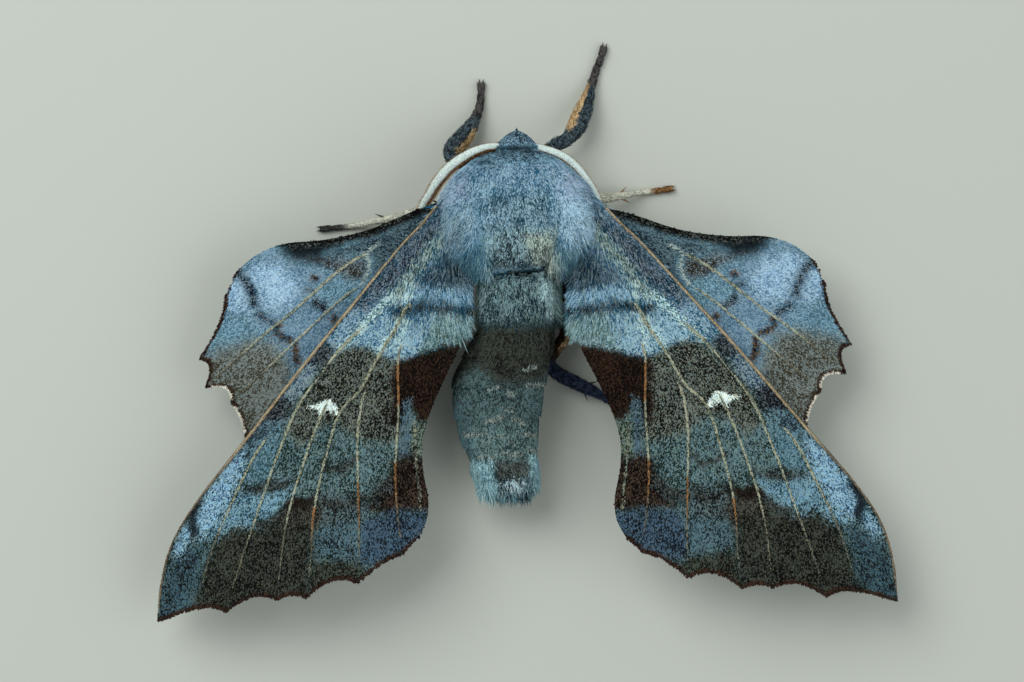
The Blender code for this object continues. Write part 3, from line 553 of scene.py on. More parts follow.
# %% Forewing markings
FOREWING_BASE = {"ground": (0.0075, 0.017, 0.013), "fleck": (0.131, 0.223, 0.238), "share": 0.5}
FOREWING_LAYERS = [
    layer("front", (0.0112, 0.083, 0.144), (0.281, 0.429, 0.523), 0.5, 0.7, 1.12,
          [(3, 3), (7, 1), (16.9, -11.3), (15.6, -11.0), (14.4, -11.4), (13.3, -10.9), (12.2, -11.1),
           (11.0, -11.8), (9.9, -12.2), (8.3, -11.9), (6.4, -11.3), (4.4, -10.9), (2.5, -10.5),
           (2.5, 0)]),
    layer("costal_dark", (0.0074, 0.0127, 0.0185), (0.155, 0.22, 0.275), 0.42, 1.26, 1.38,
          [(5.4, 0.4), (9.0, -2.6), (12.4, -6.3), (13.4, -7.8), (12.4, -8.1), (10.4, -6.7), (8.3, -4.5),
           (6.9, -2.6), (5.6, -1.0)]),
    # Painted shadow: the dark slate zone at the wing's root, beside the thorax.
    layer("base_shadow", (0.0084, 0.0199, 0.032), (0.114, 0.183, 0.223), 0.45, 1.68, 1.75,
          [(3.6, -3.2), (6.2, -3.5), (7.6, -5.0), (8.4, -6.1), (6.6, -6.5), (3.6, -6.2)]),
    layer("base_light", (0.034, 0.113, 0.172), (0.274, 0.462, 0.584), 0.6, 0.7, 0.88,
          [(3.6, -6.4), (8.2, -6.3), (9.0, -7.5), (3.6, -7.5)]),
    layer("fringe_teal", (0.056, 0.12, 0.108), (0.279, 0.434, 0.462), 0.55, 1.26, 1.12,
          [(3.2, -8.1), (7.0, -8.2), (8.2, -11.7), (4.2, -10.9)]),
    layer("fringe_blue", (0.0178, 0.096, 0.193), (0.302, 0.482, 0.556), 0.62, 0.98, 1.25,
          [(7.0, -8.3), (10.0, -8.2), (12.4, -9.4), (13.8, -10.8), (12.2, -11.0), (11.0, -11.7),
           (9.9, -12.1), (8.3, -11.8), (7.6, -10.6)]),
    layer("stem", (0.03, 0.055, 0.05), (0.31, 0.44, 0.43), 0.52, 0.5, 0.9,
          stroke([(5.6, -1.4), (6.2, -2.1), (7.8, -4.1), (9.3, -6.1), (10.3, -7.2)], 0.8)),
    layer("stem_arms", (0.052, 0.14, 0.149), (0.498, 0.71, 0.716), 0.6, 0.4, 0.7,
          stroke([(9.9, -6.8), (11.2, -7.9), (12.8, -9.5), (14.5, -11.2), (15.2, -12.0)], 0.42),
          stroke([(8.9, -6.0), (9.25, -7.9), (10.1, -9.7), (11.3, -11.6), (11.8, -12.5)], 0.5),
          stroke([(9.2, -8.6), (9.6, -10.2), (9.8, -11.8)], 0.3)),
    layer("dashes", (0.0057, 0.0109, 0.0136), (0.1, 0.14, 0.15), 0.3, 0.3, 1.1,
          [(3.6, -7.5), (9.0, -7.55), (10.3, -8.0), (9.8, -8.45), (8.6, -8.1), (3.6, -8.0)]),
    layer("band_olive", (0.0043, 0.0045, 0.0031), (0.145, 0.178, 0.153), 0.42, 0.7, 1.12,
          [(9.4, -12.3), (11.0, -11.7), (12.2, -11.1), (13.3, -10.9), (14.6, -11.4), (16.0, -12.7),
           (17.7, -15.1), (18.6, -17.2), (17.4, -18.4), (16.2, -17.0), (14.4, -16.6), (12.8, -18.0),
           (9.4, -18.4)]),
    layer("band_brown", (0.002, 0.001, 0.0005), (0.034, 0.018, 0.01), 0.34, 0.7, 1.12,
          [(3.6, -10.9), (6.4, -11.2), (8.3, -11.8), (9.95, -12.2), (10.1, -16.8), (9.5, -17.0),
           (8.7, -15.6), (7.9, -17.0), (6.6, -17.0), (5.0, -14.4)]),
    layer("costal_navy", (0.0032, 0.0041, 0.0079), (0.095, 0.124, 0.137), 0.35, 0.84, 0.75,
          [(14.8, -11.0), (15.7, -10.2), (17.2, -11.9), (16.5, -12.5), (15.4, -11.9)],
          [(17.9, -14.7), (19.1, -14.2), (20.8, -16.2), (20.4, -16.8), (18.7, -16.3)]),
    layer("costal_blue", (0.0115, 0.042, 0.098), (0.218, 0.309, 0.334), 0.5, 0.84, 0.75,
          [(16.2, -12.4), (17.1, -11.9), (19.0, -14.1), (18.2, -14.8), (17.2, -14.0)]),
    layer("costal_slate", (0.0177, 0.03, 0.043), (0.121, 0.224, 0.274), 0.45, 0.84, 0.75,
          [(18.9, -16.6), (20.6, -16.4), (22.8, -18.7), (22.2, -19.4), (20.5, -18.2)]),
    layer("teal_costal", (0.028, 0.072, 0.086), (0.142, 0.271, 0.335), 0.5, 1.12, 1.0,
          [(19.2, -17.3), (21.3, -18.6), (22.3, -21.2), (20.3, -21.2), (19.4, -19.4)]),
    layer("inner_green", (0.0066, 0.0089, 0.0069), (0.145, 0.204, 0.159), 0.5, 0.7, 0.88,
          [(7.0, -17.0), (8.6, -17.2), (8.7, -19.6), (7.0, -19.9)]),
    layer("inner_lilac", (0.0053, 0.0074, 0.0074), (0.092, 0.159, 0.196), 0.6, 0.56, 0.62,
          [(8.7, -15.0), (9.3, -15.4), (9.45, -19.7), (8.7, -19.7)]),
    layer("inner_brown", (0.002, 0.001, 0.0005), (0.055, 0.038, 0.026), 0.4, 0.84, 1.25,
          [(6.8, -20.0), (9.7, -19.7), (10.4, -21.3), (11.5, -22.4), (12.0, -23.5), (10.4, -23.9),
           (6.6, -24.0)]),
    layer("tornus_grey", (0.006, 0.0073, 0.0072), (0.11, 0.17, 0.183), 0.48, 1.12, 1.12,
          [(12.3, -22.5), (16.0, -22.1), (16.2, -24.8), (12.6, -24.6)]),
    layer("tornus_lilac", (0.0042, 0.0067, 0.0092), (0.063, 0.117, 0.17), 0.5, 0.84, 1.0,
          [(6.6, -24.2), (9.5, -23.8), (12.4, -24.4), (12.9, -27.9), (9.6, -27.6), (7.4, -26.6)]),
    layer("tornus_blue", (0.0059, 0.01, 0.0111), (0.092, 0.168, 0.204), 0.55, 1.12, 1.12,
          [(12.7, -24.6), (16.1, -25.2), (16.1, -27.0), (12.8, -27.6)]),
    layer("outer_brown", (0.0063, 0.0046, 0.0028), (0.055, 0.073, 0.056), 0.42, 0.98, 0.75,
          [(12.0, -28.2), (13.0, -27.7), (16.3, -27.3), (16.9, -31.5), (12.0, -30.5), (10.4, -28.4)]),
    layer("outer_olive", (0.0028, 0.003, 0.002), (0.052, 0.062, 0.049), 0.42, 0.98, 1.12,
          [(16.5, -24.6), (17.6, -23.9), (18.8, -24.0), (20.2, -24.3), (21.4, -24.6), (22.8, -24.3),
           (24.3, -25.4), (25.3, -28.0), (26.6, -31.2), (25.4, -32.2), (16.4, -31.6)]),
    layer("outer_pale", (0.0137, 0.049, 0.07), (0.195, 0.363, 0.455), 0.55, 0.98, 1.5,
          [(18.2, -21.5), (20.2, -21.9), (22.2, -21.6), (23.6, -23.2), (25.2, -25.3), (24.6, -25.4),
           (22.8, -24.2), (21.4, -24.4), (20.2, -24.0), (19.0, -23.2)]),
    layer("costal_pale", (0.0185, 0.06, 0.132), (0.299, 0.52, 0.653), 0.6, 0.98, 1.12,
          [(22.2, -18.6), (23.4, -19.5), (25.2, -22.0), (26.2, -23.6), (25.7, -25.3), (24.4, -24.4),
           (22.9, -22.0), (22.2, -20.2)]),
    layer("inner_vein", (0.05, 0.06, 0.045), (0.24, 0.27, 0.2), 0.45, 0.08, 0.12,
          stroke([(8.3, -16.8), (8.25, -18.0), (8.1, -20.4), (7.8, -22.6), (7.7, -23.8)], 0.15)),
    layer("wave_dark", (0.012, 0.018, 0.02), (0.09, 0.13, 0.14), 0.3, 0.49, 1.12,
          stroke([(17.8, -21.0), (18.7, -21.5), (20.0, -21.1), (21.0, -21.7), (21.9, -21.5)], 0.35),
          stroke([(10.3, -21.8), (11.4, -22.9), (12.6, -23.1), (13.9, -22.6)], 0.4)),
    layer("below_lunule", (0.006, 0.005, 0.004), (0.07, 0.075, 0.06), 0.4, 0.8, 1.0,
          [(16.0, -22.3), (18.6, -23.0), (19.6, -24.2), (16.3, -25.2), (15.6, -24.2)]),
    layer("lunule_dark", (0.0036, 0.0027, 0.002), (0.026, 0.0196, 0.0143), 0.3, 0.3, 0.5,
          [(16.1, -22.1), (16.9, -22.6), (17.8, -22.3), (18.4, -22.6), (18.9, -23.3), (18.2, -23.2),
           (17.4, -23.4), (16.6, -23.1)]),
    layer("apex_slate", (0.0057, 0.0063, 0.0064), (0.057, 0.118, 0.146), 0.5, 1.4, 1.12,
          [(25.2, -25.9), (26.6, -25.9), (28.2, -27.6), (29.6, -32.4), (27.4, -32.0), (26.0, -29.6)]),
    layer("apex_pale", (0.0187, 0.064, 0.099), (0.278, 0.481, 0.609), 0.6, 0.84, 0.75,
          [(26.2, -23.7), (27.0, -24.6), (28.0, -26.4), (27.3, -26.6), (26.3, -25.3)]),
    layer("apex_tick", (0.0076, 0.0127, 0.0173), (0.028, 0.039, 0.046), 0.3, 0.56, 0.75,
          stroke([(25.7, -22.3), (26.25, -23.3), (26.35, -24.1), (26.0, -25.1)], 0.6)),
    layer("apex_shade", (0.002, 0.002, 0.002), (0.02, 0.028, 0.03), 0.35, 0.6, 0.9,
          stroke([(24.6, -30.9), (26.2, -31.6), (27.8, -31.7), (29.2, -32.6)], 0.9)),
    layer("waves", (0.006, 0.006, 0.005), (0.07, 0.085, 0.08), 0.35, 0.45, 0.9,
          stroke([(10.1, -21.4), (10.8, -22.3), (11.8, -22.9), (12.6, -22.6)], 0.34),
          stroke([(13.0, -22.7), (14.1, -23.2), (15.2, -22.9), (16.0, -22.2)], 0.34),
          stroke([(18.9, -23.4), (19.8, -24.2), (20.9, -24.3)], 0.34),
          stroke([(13.0, -19.6), (13.9, -20.4), (15.0, -20.3), (15.8, -19.6)], 0.3),
          stroke([(18.7, -21.3), (19.8, -21.7), (20.8, -21.4)], 0.3)),
    layer("crescent", (0.3, 0.4, 0.38), (0.78, 0.92, 0.86), 0.72, 0.16, 0.3,
          [(14.42, -16.1), (14.45, -15.7), (14.7, -15.25), (15.05, -14.95), (15.45, -14.9),
           (15.85, -15.05), (16.3, -15.2), (17.0, -15.28), (17.0, -15.42), (16.3, -15.5),
           (16.05, -15.65), (15.98, -16.2), (15.8, -16.2), (15.68, -15.85), (15.3, -15.72),
           (15.0, -15.8), (14.8, -15.9), (14.66, -16.1)]),
]
FOREWING_RUST = [
    [(9.2, -12.4), (10.6, -12.4), (10.6, -15.4), (9.2, -15.4)],
    [(8.8, -20.0), (10.6, -20.0), (10.4, -24.3), (8.8, -24.3)],
    [(12.2, -21.4), (13.6, -21.4), (13.6, -25.0), (12.2, -25.0)],
    [(15.6, -23.2), (17.2, -23.2), (17.4, -26.0), (16.0, -26.0)],
]

# %% Hindwing markings
HINDWING_BASE = {"ground": (0.061, 0.135, 0.173), "fleck": (0.207, 0.38, 0.484), "share": 0.5}
HINDWING_LAYERS = [
    layer("rose", (0.12, 0.03, 0.016), (0.36, 0.13, 0.07), 0.5, 2.24, 1.5,
          [(5.0, -3.0), (8.0, -4.8), (10.4, -7.6), (12.0, -12.4), (11.0, -14.6), (8.0, -12.6),
           (5.6, -7.0)]),
    layer("base_grey", (0.0105, 0.0192, 0.033), (0.109, 0.188, 0.214), 0.45, 1.26, 0.88,
          [(5.0, 0.3), (9.4, -1.8), (12.0, -2.8), (14.8, -3.5), (16.0, -4.3), (14.2, -4.4),
           (12.4, -4.6), (12.2, -6.4), (9.0, -4.6), (5.0, -2.0)]),
    layer("brown_patch", (0.024, 0.0185, 0.0126), (0.163, 0.22, 0.244), 0.38, 0.7, 0.75,
          [(13.0, -4.6), (14.6, -4.5), (17.2, -4.0), (18.8, -4.1), (17.0, -4.6), (15.3, -5.5),
           (14.4, -6.0), (13.3, -6.1), (12.8, -5.4)]),
    layer("lilac", (0.055, 0.14, 0.215), (0.215, 0.34, 0.43), 0.56, 1.54, 1.12,
          [(15.6, -5.6), (17.2, -4.9), (19.2, -4.2), (20.6, -3.2), (22.2, -3.6), (24.2, -5.6),
           (24.6, -7.8), (22.4, -8.2), (21.0, -9.4), (19.9, -10.6), (18.9, -12.6), (17.4, -12.9),
           (15.8, -11.0), (14.2, -8.4), (15.4, -8.2), (16.8, -7.6), (16.8, -6.6)]),
    layer("lilac_bright", (0.127, 0.25, 0.387), (0.386, 0.581, 0.723), 0.6, 1.26, 1.12,
          [(22.9, -5.7), (24.0, -5.5), (24.2, -7.8), (22.2, -7.9)],
          [(19.2, -4.9), (21.6, -4.4), (22.2, -5.2), (21.2, -6.6), (20.6, -7.8), (18.8, -7.8),
           (18.2, -6.2)]),
    layer("outer_brown", (0.04, 0.036, 0.02), (0.19, 0.235, 0.225), 0.48, 1.4, 1.25,
          [(18.9, -12.0), (20.2, -10.6), (21.8, -10.2), (24.2, -10.8), (27.0, -11.6), (27.0, -14.6),
           (23.6, -16.0), (22.6, -19.0), (20.4, -17.6), (18.6, -14.0)]),
    layer("fore_shade", (0.0041, 0.0071, 0.0095), (0.0085, 0.0153, 0.0193), 0.4, 1.26, 0.75,
          [(14.8, -3.2), (16.4, -2.6), (19.6, -2.6), (19.4, -3.6), (18.6, -4.3), (16.8, -4.4)]),
    layer("edge_black", (0.002, 0.002, 0.002), (0.072, 0.088, 0.079), 0.2, 0.45, 0.4,
          [(4.6, 1.2), (8.9, 0.0), (12.7, -1.4), (16.2, -2.2), (19.6, -2.2), (20.6, -3.1), (18.4, -3.3),
           (15.5, -3.4), (12.6, -2.9), (10, -2.0), (7.8, -1.2), (4.6, -0.3)]),
    layer("dashes", (0.0059, 0.0096, 0.0138), (0.161, 0.229, 0.273), 0.3, 0.35, 0.7,
          stroke([(23.4, -4.5), (22.7, -5.3), (22.1, -6.1), (21.8, -6.9), (21.65, -7.7)], 0.62),
          stroke([(21.4, -8.15), (20.8, -8.7), (20.0, -9.1)], 0.55),
          stroke([(15.9, -8.5), (17.1, -7.5)], 0.7), stroke([(16.9, -6.9), (17.6, -6.6)], 0.4)),
    layer("dashes_rust", (0.0082, 0.0093, 0.0097), (0.127, 0.083, 0.048), 0.3, 0.3, 0.6,
          stroke([(19.75, -9.2), (19.9, -9.9), (19.2, -10.35), (18.6, -10.55)], 0.5),
          stroke([(18.4, -10.75), (18.35, -11.6), (18.1, -12.6)], 0.5),
          stroke([(15.1, -8.9), (15.6, -9.2)], 0.5), stroke([(16.6, -5.9), (17.2, -5.7)], 0.35)),
    layer("cross_veins", (0.16, 0.22, 0.21), (0.38, 0.48, 0.46), 0.6, 0.2, 0.25,
          stroke([(11.9, -3.4), (12.9, -4.1), (13.4, -4.3)], 0.2),
          stroke([(12.9, -4.1), (12.65, -4.9), (12.75, -5.6), (13.3, -6.6)], 0.24)),
]
HINDWING_NOTCHES = [
    [(22.3, -13.2), (25.0, -13.2), (25.0, -14.5), (24.0, -14.5), (23.0, -15.0), (22.3, -14.9)],
    [(21.4, -15.5), (23.4, -15.4), (23.2, -17.5), (21.4, -17.5)],
]

# %% Markings that follow the veins and the margin
VEIN_LOOKS = [
    layer("vein", (0.075, 0.09, 0.065), (0.40, 0.43, 0.31), 0.56, 0.05, 0.09),
    layer("vein_rust", (0.07, 0.032, 0.010), (0.32, 0.155, 0.055), 0.56, 0.05, 0.09),
    layer("vein_dull", (0.035, 0.035, 0.024), (0.15, 0.145, 0.10), 0.5, 0.05, 0.09),
    layer("costa", (0.22, 0.17, 0.10), (0.50, 0.41, 0.26), 0.55, 0.08, 0.10),
    layer("costa_dull", (0.09, 0.07, 0.045), (0.24, 0.20, 0.14), 0.5, 0.08, 0.10),
    layer("margin", (0.008, 0.004, 0.003), (0.045, 0.024, 0.015), 0.4, 0.16, 0.4),
]
NOTCH_LOOK = layer("notch", (0.40, 0.38, 0.28), (0.82, 0.80, 0.66), 0.7, 0.10, 0.15)
VEIN_PAINT = 0.066
COSTA_PAINT = 0.2
COSTA_STARTS = 6.9
PAINT_TAPER = 0.45
VEIN_DULLS = 0.84
COSTA_DULLS = 0.66
MARGIN_BAND = 0.42
NOTCH_BAND = 0.2
ABSENT = -1.0


def wing_numbers(wing, across, along):
    """All that the wing's material reads at places on it."""
    plan, _ = in_plan(wing, across, along)
    numbers = distances(plan, wing["layers"])
    gap, _, number = vein_gap(wing, across, along)
    size = 1 - PAINT_TAPER * along**2
    vein = VEIN_PAINT * size - gap - 0.03 * ease(along, 0.7, 0.98)
    costa = np.minimum(COSTA_PAINT * size - gap, plan[..., 0] - COSTA_STARTS)
    numbers["m_vein"] = np.where(on_costa(wing, number), ABSENT, vein)
    numbers["m_costa"] = np.where(on_costa(wing, number), costa, ABSENT)
    rust = inside(plan, wing["rust"]) if wing["rust"] else ABSENT
    numbers["m_vein_rust"] = np.minimum(numbers["m_vein"], rust)
    numbers["m_vein_dull"] = np.minimum(numbers["m_vein"], along - VEIN_DULLS)
    numbers["m_costa_dull"] = np.minimum(numbers["m_costa"], (along - COSTA_DULLS) * 2)
    edge = (1 - along) * wing["lengths"][np.clip(across.astype(int), 0, len(wing["lengths"]) - 1)]
    numbers["m_margin"] = MARGIN_BAND - edge
    if wing["notches"]:
        numbers["m_notch"] = np.minimum(NOTCH_BAND - edge, inside(plan, wing["notches"]))
    return numbers


forewing_finish = marked_material("forewing_scales", FOREWING_BASE, FOREWING_LAYERS + VEIN_LOOKS, 0.62,
                                  warmth=0.6)
hindwing_finish = marked_material("hindwing_scales", HINDWING_BASE,
                                  HINDWING_LAYERS + VEIN_LOOKS + [NOTCH_LOOK], 0.62, warmth=0.35)
for side in SIDES:
    forewings[side].update(layers=FOREWING_LAYERS, rust=FOREWING_RUST, notches=None, slot="forewing",
                           finish=forewing_finish)
    hindwings[side].update(layers=HINDWING_LAYERS, rust=None, notches=HINDWING_NOTCHES, slot="hindwing",
                           finish=hindwing_finish)
print("markings:", len(FOREWING_LAYERS), "on the forewing,", len(HINDWING_LAYERS), "on the hindwing")

# %% [markdown]
# ## Wings: the membrane
#
# The membrane is a closed sheet about a sixth of a millimetre thick, with the veins raised in its own
# surface. A subdivided plane with a displacement would smear the thin veins, so the columns of this
# mesh run along the veins and crowd together beside each of them. That gives a crisp ridge with few
# faces.

# %% Wing membrane
# Columns beside a vein: distance from it in mm, and the most that it may be as a share of the bay.
RIDGE_STEPS = ((0.05, 0.08), (0.11, 0.16), (0.2, 0.26))
BAY_COLUMNS = 5
MEMBRANE_ROWS = {"forewing": 110, "hindwing": 80}
MEMBRANE_HALF = 0.08
RIDGE_HEIGHT = 0.13
RIDGE_WIDTH = 0.085
COSTA_STOUTNESS = 1.7
MARGIN_TRIM = 0.12


def membrane_columns(wing, along):
    """Wing coordinates of the columns, row by row, crowded beside the veins."""
    count = len(wing["lengths"])
    j = np.clip((along * STEPS).astype(int), 0, STEPS)
    columns = []
    for i in range(count - 1):
        room = np.linalg.norm(wing["tables"][i, j] - wing["tables"][i + 1, j], axis=-1)
        near = [np.minimum(offset / np.maximum(room, 1e-6), most) for offset, most in RIDGE_STEPS]
        between = [near[-1] + (1 - 2 * near[-1]) * k / (BAY_COLUMNS + 1) for k in range(1, BAY_COLUMNS + 1)]
        columns += [i + t for t in (np.zeros_like(room), *near, *between)]
        columns += [i + 1 - t for t in near[::-1]]
    columns.append(np.full_like(along, count - 1.0))
    return np.stack(columns, -1)


def ridge_rise(wing, across, along):
    """How far a vein stands above the membrane: a round ridge that thins towards the margin."""
    gap, raised, number = vein_gap(wing, across, along)
    thick = np.where(on_costa(wing, number), COSTA_STOUTNESS, 1.0) * (1 - 0.4 * along)
    return RIDGE_HEIGHT * thick * raised * np.exp(-((gap / (RIDGE_WIDTH * thick**0.5)) ** 2))


def half_thickness(wing, across, along):
    return MEMBRANE_HALF * (1 - 0.4 * ease(along, 0.9, 1.0)) + ridge_rise(wing, across, along)


def make_membrane(wing):
    """The closed sheet of one wing, in place of its solid."""
    along = np.linspace(0.0, 1.0 - MARGIN_TRIM / wing["lengths"].mean(), MEMBRANE_ROWS[wing["slot"]])
    across = membrane_columns(wing, along)
    shares = np.repeat(along[:, None], across.shape[1], axis=1)
    middle = on_wing(wing, across, shares)
    _, normal = wing_directions(wing, across, shares, 1)
    offset = normal * half_thickness(wing, across, shares)[..., None]
    points = np.vstack([(middle + offset).reshape(-1, 3), (middle - offset).reshape(-1, 3)])
    count = across.size
    index = np.arange(count).reshape(across.shape)
    top = np.stack([index[:-1, :-1], index[:-1, 1:], index[1:, 1:], index[1:, :-1]], -1).reshape(-1, 4)
    rims = [(index[0, 1:], index[0, :-1]), (index[-1, :-1], index[-1, 1:]),
            (index[:-1, 0], index[1:, 0]), (index[1:, -1], index[:-1, -1])]
    walls = [np.stack([p, q, q + count, p + count], -1) for p, q in rims]
    faces = np.vstack([top, top[:, ::-1] + count, *walls])
    if wing["side"] < 0:
        faces = faces[:, ::-1]
    numbers = wing_numbers(wing, across.reshape(-1), shares.reshape(-1))
    numbers["grain"] = draw.uniform(0.35, 0.65, count)
    values = {key: np.concatenate([value, value]) for key, value in numbers.items()}
    piece = new_piece("membrane_" + wing["name"], points, faces, wing["finish"], values,
                      smooth=True)
    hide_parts(wing["name"])


for side in SIDES:
    make_membrane(forewings[side])
    make_membrane(hindwings[side])

# %% [markdown]
# ## Wings: the scales
#
# A real wing has about two hundred scales on each square millimetre, set like roof tiles that point to
# the margin. Here there are about half as many, each a little larger, which still reads as grain at
# arm's length. Near the body they draw out into hairs. Each scale takes its colours from the place of
# its root, and a random number decides whether it is one of the dark or one of the pale ones.

# %% Scatter scales over a wing
GRID_ACROSS, GRID_ALONG = 121, 181
SCATTER_STARTS = 0.03
SCALES_END = 0.992
VEIN_SCALES_PER_MM = 16
MARGIN_SCALES = 1700
VEIN_SPREAD, COSTA_SPREAD = 0.045, 0.12
SCALE_THICKNESS = 0.012
SCALE_SLIMNESS = 0.52
# Length and width of the small scales on a painted vein, and length of those at a wing's two long edges.
VEIN_SCALE = (0.2, 0.085)
EDGE_SCALE = 0.18
SHORTEST_SCALE = 0.16


def scatter(wing, count, weight, far=1.0):
    """Wing coordinates of many scales, spread evenly over the wing's area or as `weight` says."""
    last = wing["last"]
    a_edges, s_edges = np.linspace(0, last, GRID_ACROSS), np.linspace(SCATTER_STARTS, far, GRID_ALONG)
    a, s = (0.5 * (edges[1:] + edges[:-1]) for edges in (a_edges, s_edges))
    across, along = (grid.ravel() for grid in np.meshgrid(a, s))
    step_a, step_s = a_edges[1] - a_edges[0], s_edges[1] - s_edges[0]
    here = in_plan(wing, across, along)[0]
    by_a = in_plan(wing, np.minimum(across + 0.01, last), along)[0] - here
    by_s = in_plan(wing, across, np.minimum(along + 0.002, 1.0))[0] - here
    area = np.abs(by_a[:, 0] * by_s[:, 1] - by_a[:, 1] * by_s[:, 0]) * weight(here)
    picked = draw.choice(len(area), count, p=area / area.sum())
    across = across[picked] + (draw.random(count) - 0.5) * step_a
    along = along[picked] + (draw.random(count) - 0.5) * step_s
    return np.clip(across, 0.0, last), np.clip(along, 0.0, far)


def vein_rows(wing):
    """Wing coordinates of the scales that ride on the veins themselves."""
    rows = []
    for number, ridge in enumerate(wing["ridges"]):
        if ridge:
            at_front = number == 0
            first, last = ridge[0] + 0.02, ridge[1] - 0.03
            count = int(wing["lengths"][number] * (last - first) * VEIN_SCALES_PER_MM * (1 + at_front))
            along = draw.uniform(first, last, count)
            j = (along * STEPS).astype(int)
            other = number + 1 if at_front else number - 1
            room = np.linalg.norm(wing["tables"][number, j] - wing["tables"][other, j], axis=-1)
            spread = (COSTA_SPREAD if at_front else VEIN_SPREAD) / np.maximum(room, 0.2)
            across = number + draw.uniform(0 if at_front else -1, 1, count) * spread
            rows.append((np.clip(across, 0, wing["last"]), along))
    return [np.concatenate(column) for column in zip(*rows)]


def margin_row(wing):
    across = draw.uniform(0, wing["last"], MARGIN_SCALES)
    return across, 0.996 - draw.random(MARGIN_SCALES) * 0.006


def turned(along, outward, angle):
    """Directions turned in the surface by an angle each."""
    aside = np.cross(outward, along)
    return unit(along * np.cos(angle)[:, None] + aside * np.sin(angle)[:, None])


def wing_unwrap(plan):
    """The wing's plan laid in the unit square of the bake map."""
    return (plan - np.array([2.0, -33.0])) / np.array([28.0, 35.0])


# %% One side's scales
def make_scales(wing, face, count, weight, hair_zone, size):
    """One side of a wing's scales, as one piece."""
    across, along = scatter(wing, count, weight, SCALES_END)
    if face > 0:
        columns = zip((across, along), vein_rows(wing), margin_row(wing))
        across, along = (np.concatenate(column) for column in columns)
    total = len(across)
    centre = on_wing(wing, across, along)
    to_margin, normal = wing_directions(wing, across, along, face)
    numbers = wing_numbers(wing, across, along)
    plan, _ = in_plan(wing, across, along)
    hair = hair_zone(plan)
    vary = draw.uniform(0.8, 1.25, (3, total))
    on_vein = (np.arange(total) >= count) & (along < 0.98)
    on_paint = on_vein | (np.maximum(numbers["m_vein"], numbers["m_costa"]) > -0.04)
    length = np.where(on_paint, VEIN_SCALE[0], size * (1.0 + 1.7 * hair) * vary[0])
    width = np.where(on_paint, VEIN_SCALE[1], size * SCALE_SLIMNESS * (1.0 - 0.3 * hair) * vary[1])
    at_side = np.minimum(across, wing["last"] - across) < 0.12
    length = np.where(at_side, np.minimum(length, EDGE_SCALE), length)
    room = (1.0 - along) * wing["lengths"].mean() + SHORTEST_SCALE
    length = np.minimum(length, np.maximum(room, SHORTEST_SCALE))
    way = turned(to_margin, normal, draw.normal(0, np.where(on_paint | at_side, 0.08, 0.3)))
    stand = half_thickness(wing, across, along) + SCALE_THICKNESS
    points, faces, spots = grow(SCALE_POINTS, SCALE_FACES, centre + normal * stand[:, None], way, normal,
                                length, width, (0.035 + 0.05 * hair) * vary[2],
                                np.full(total, SCALE_THICKNESS), wing_unwrap(plan))
    numbers["grain"] = draw.random(total)
    new_piece(f"scales_{wing['name']}_{'above' if face > 0 else 'below'}", points, faces, wing["finish"],
              each_point(numbers, SCALE_POINTS), spots)


# %% All the scales
def forewing_hair(plan):
    """How far the scales draw out into hairs, from 0 to 1."""
    return 1 - ease(-plan[:, 1] + 0.35 * (plan[:, 0] - 5), 4.0, 11.5)


def hindwing_hair(plan):
    return 0.6 * (1 - ease(plan[:, 0], 6.0, 11.0))


def even(plan):
    return np.ones(len(plan))


FOREWING_OUTLINE = [(4.0, 1.0), (9.4, -3.1), (13.2, -7.3), (17.4, -12.1), (22.4, -18.2), (23.0, -24.0),
                    (4.0, -24.0)]


def where_seen(plan):
    """The part of a hindwing that lies under the forewing carries fewer scales."""
    return np.where(inside(plan, [FOREWING_OUTLINE]) > 0.8, 0.22, 1.0)


thin = 1.0
for side in SIDES:
    make_scales(forewings[side], 1, int(42000 * thin), even, forewing_hair, 0.215)
    make_scales(forewings[side], -1, int(6500 * thin), even, forewing_hair, 0.42)
    make_scales(hindwings[side], 1, int(20500 * thin), where_seen, hindwing_hair, 0.215)
    make_scales(hindwings[side], -1, int(4200 * thin), even, hindwing_hair, 0.42)

# %% [markdown]
# ## Wings: the hair of the base
#
# Next to the body the forewing bears long hair instead of scales. It points backwards, past the wing's
# inner edge, and closes the corner between the wing, the thorax and the abdomen. These are tufts of the
# same kind as the body's, coloured by the wing's own markings at their roots, so the dark and pale bars
# run on into them.

# %% Hair of the wing base
BASE_HAIR = 8200
EDGE_HAIR = 1500
# How far the innermost hair turns towards the body, on the left and on the right.
BASE_TURN = {-1: 0.66, 1: 1.0}


def near_root(plan):
    """The zone of the long hair: dense at the root and thinner outwards."""
    ahead_of_end = 1 - ease(-plan[:, 1], 7.2, 10.9)
    return ahead_of_end * (1 - 0.55 * ease(plan[:, 0], 5.0, 9.5)) * (plan[:, 0] < 10.5)


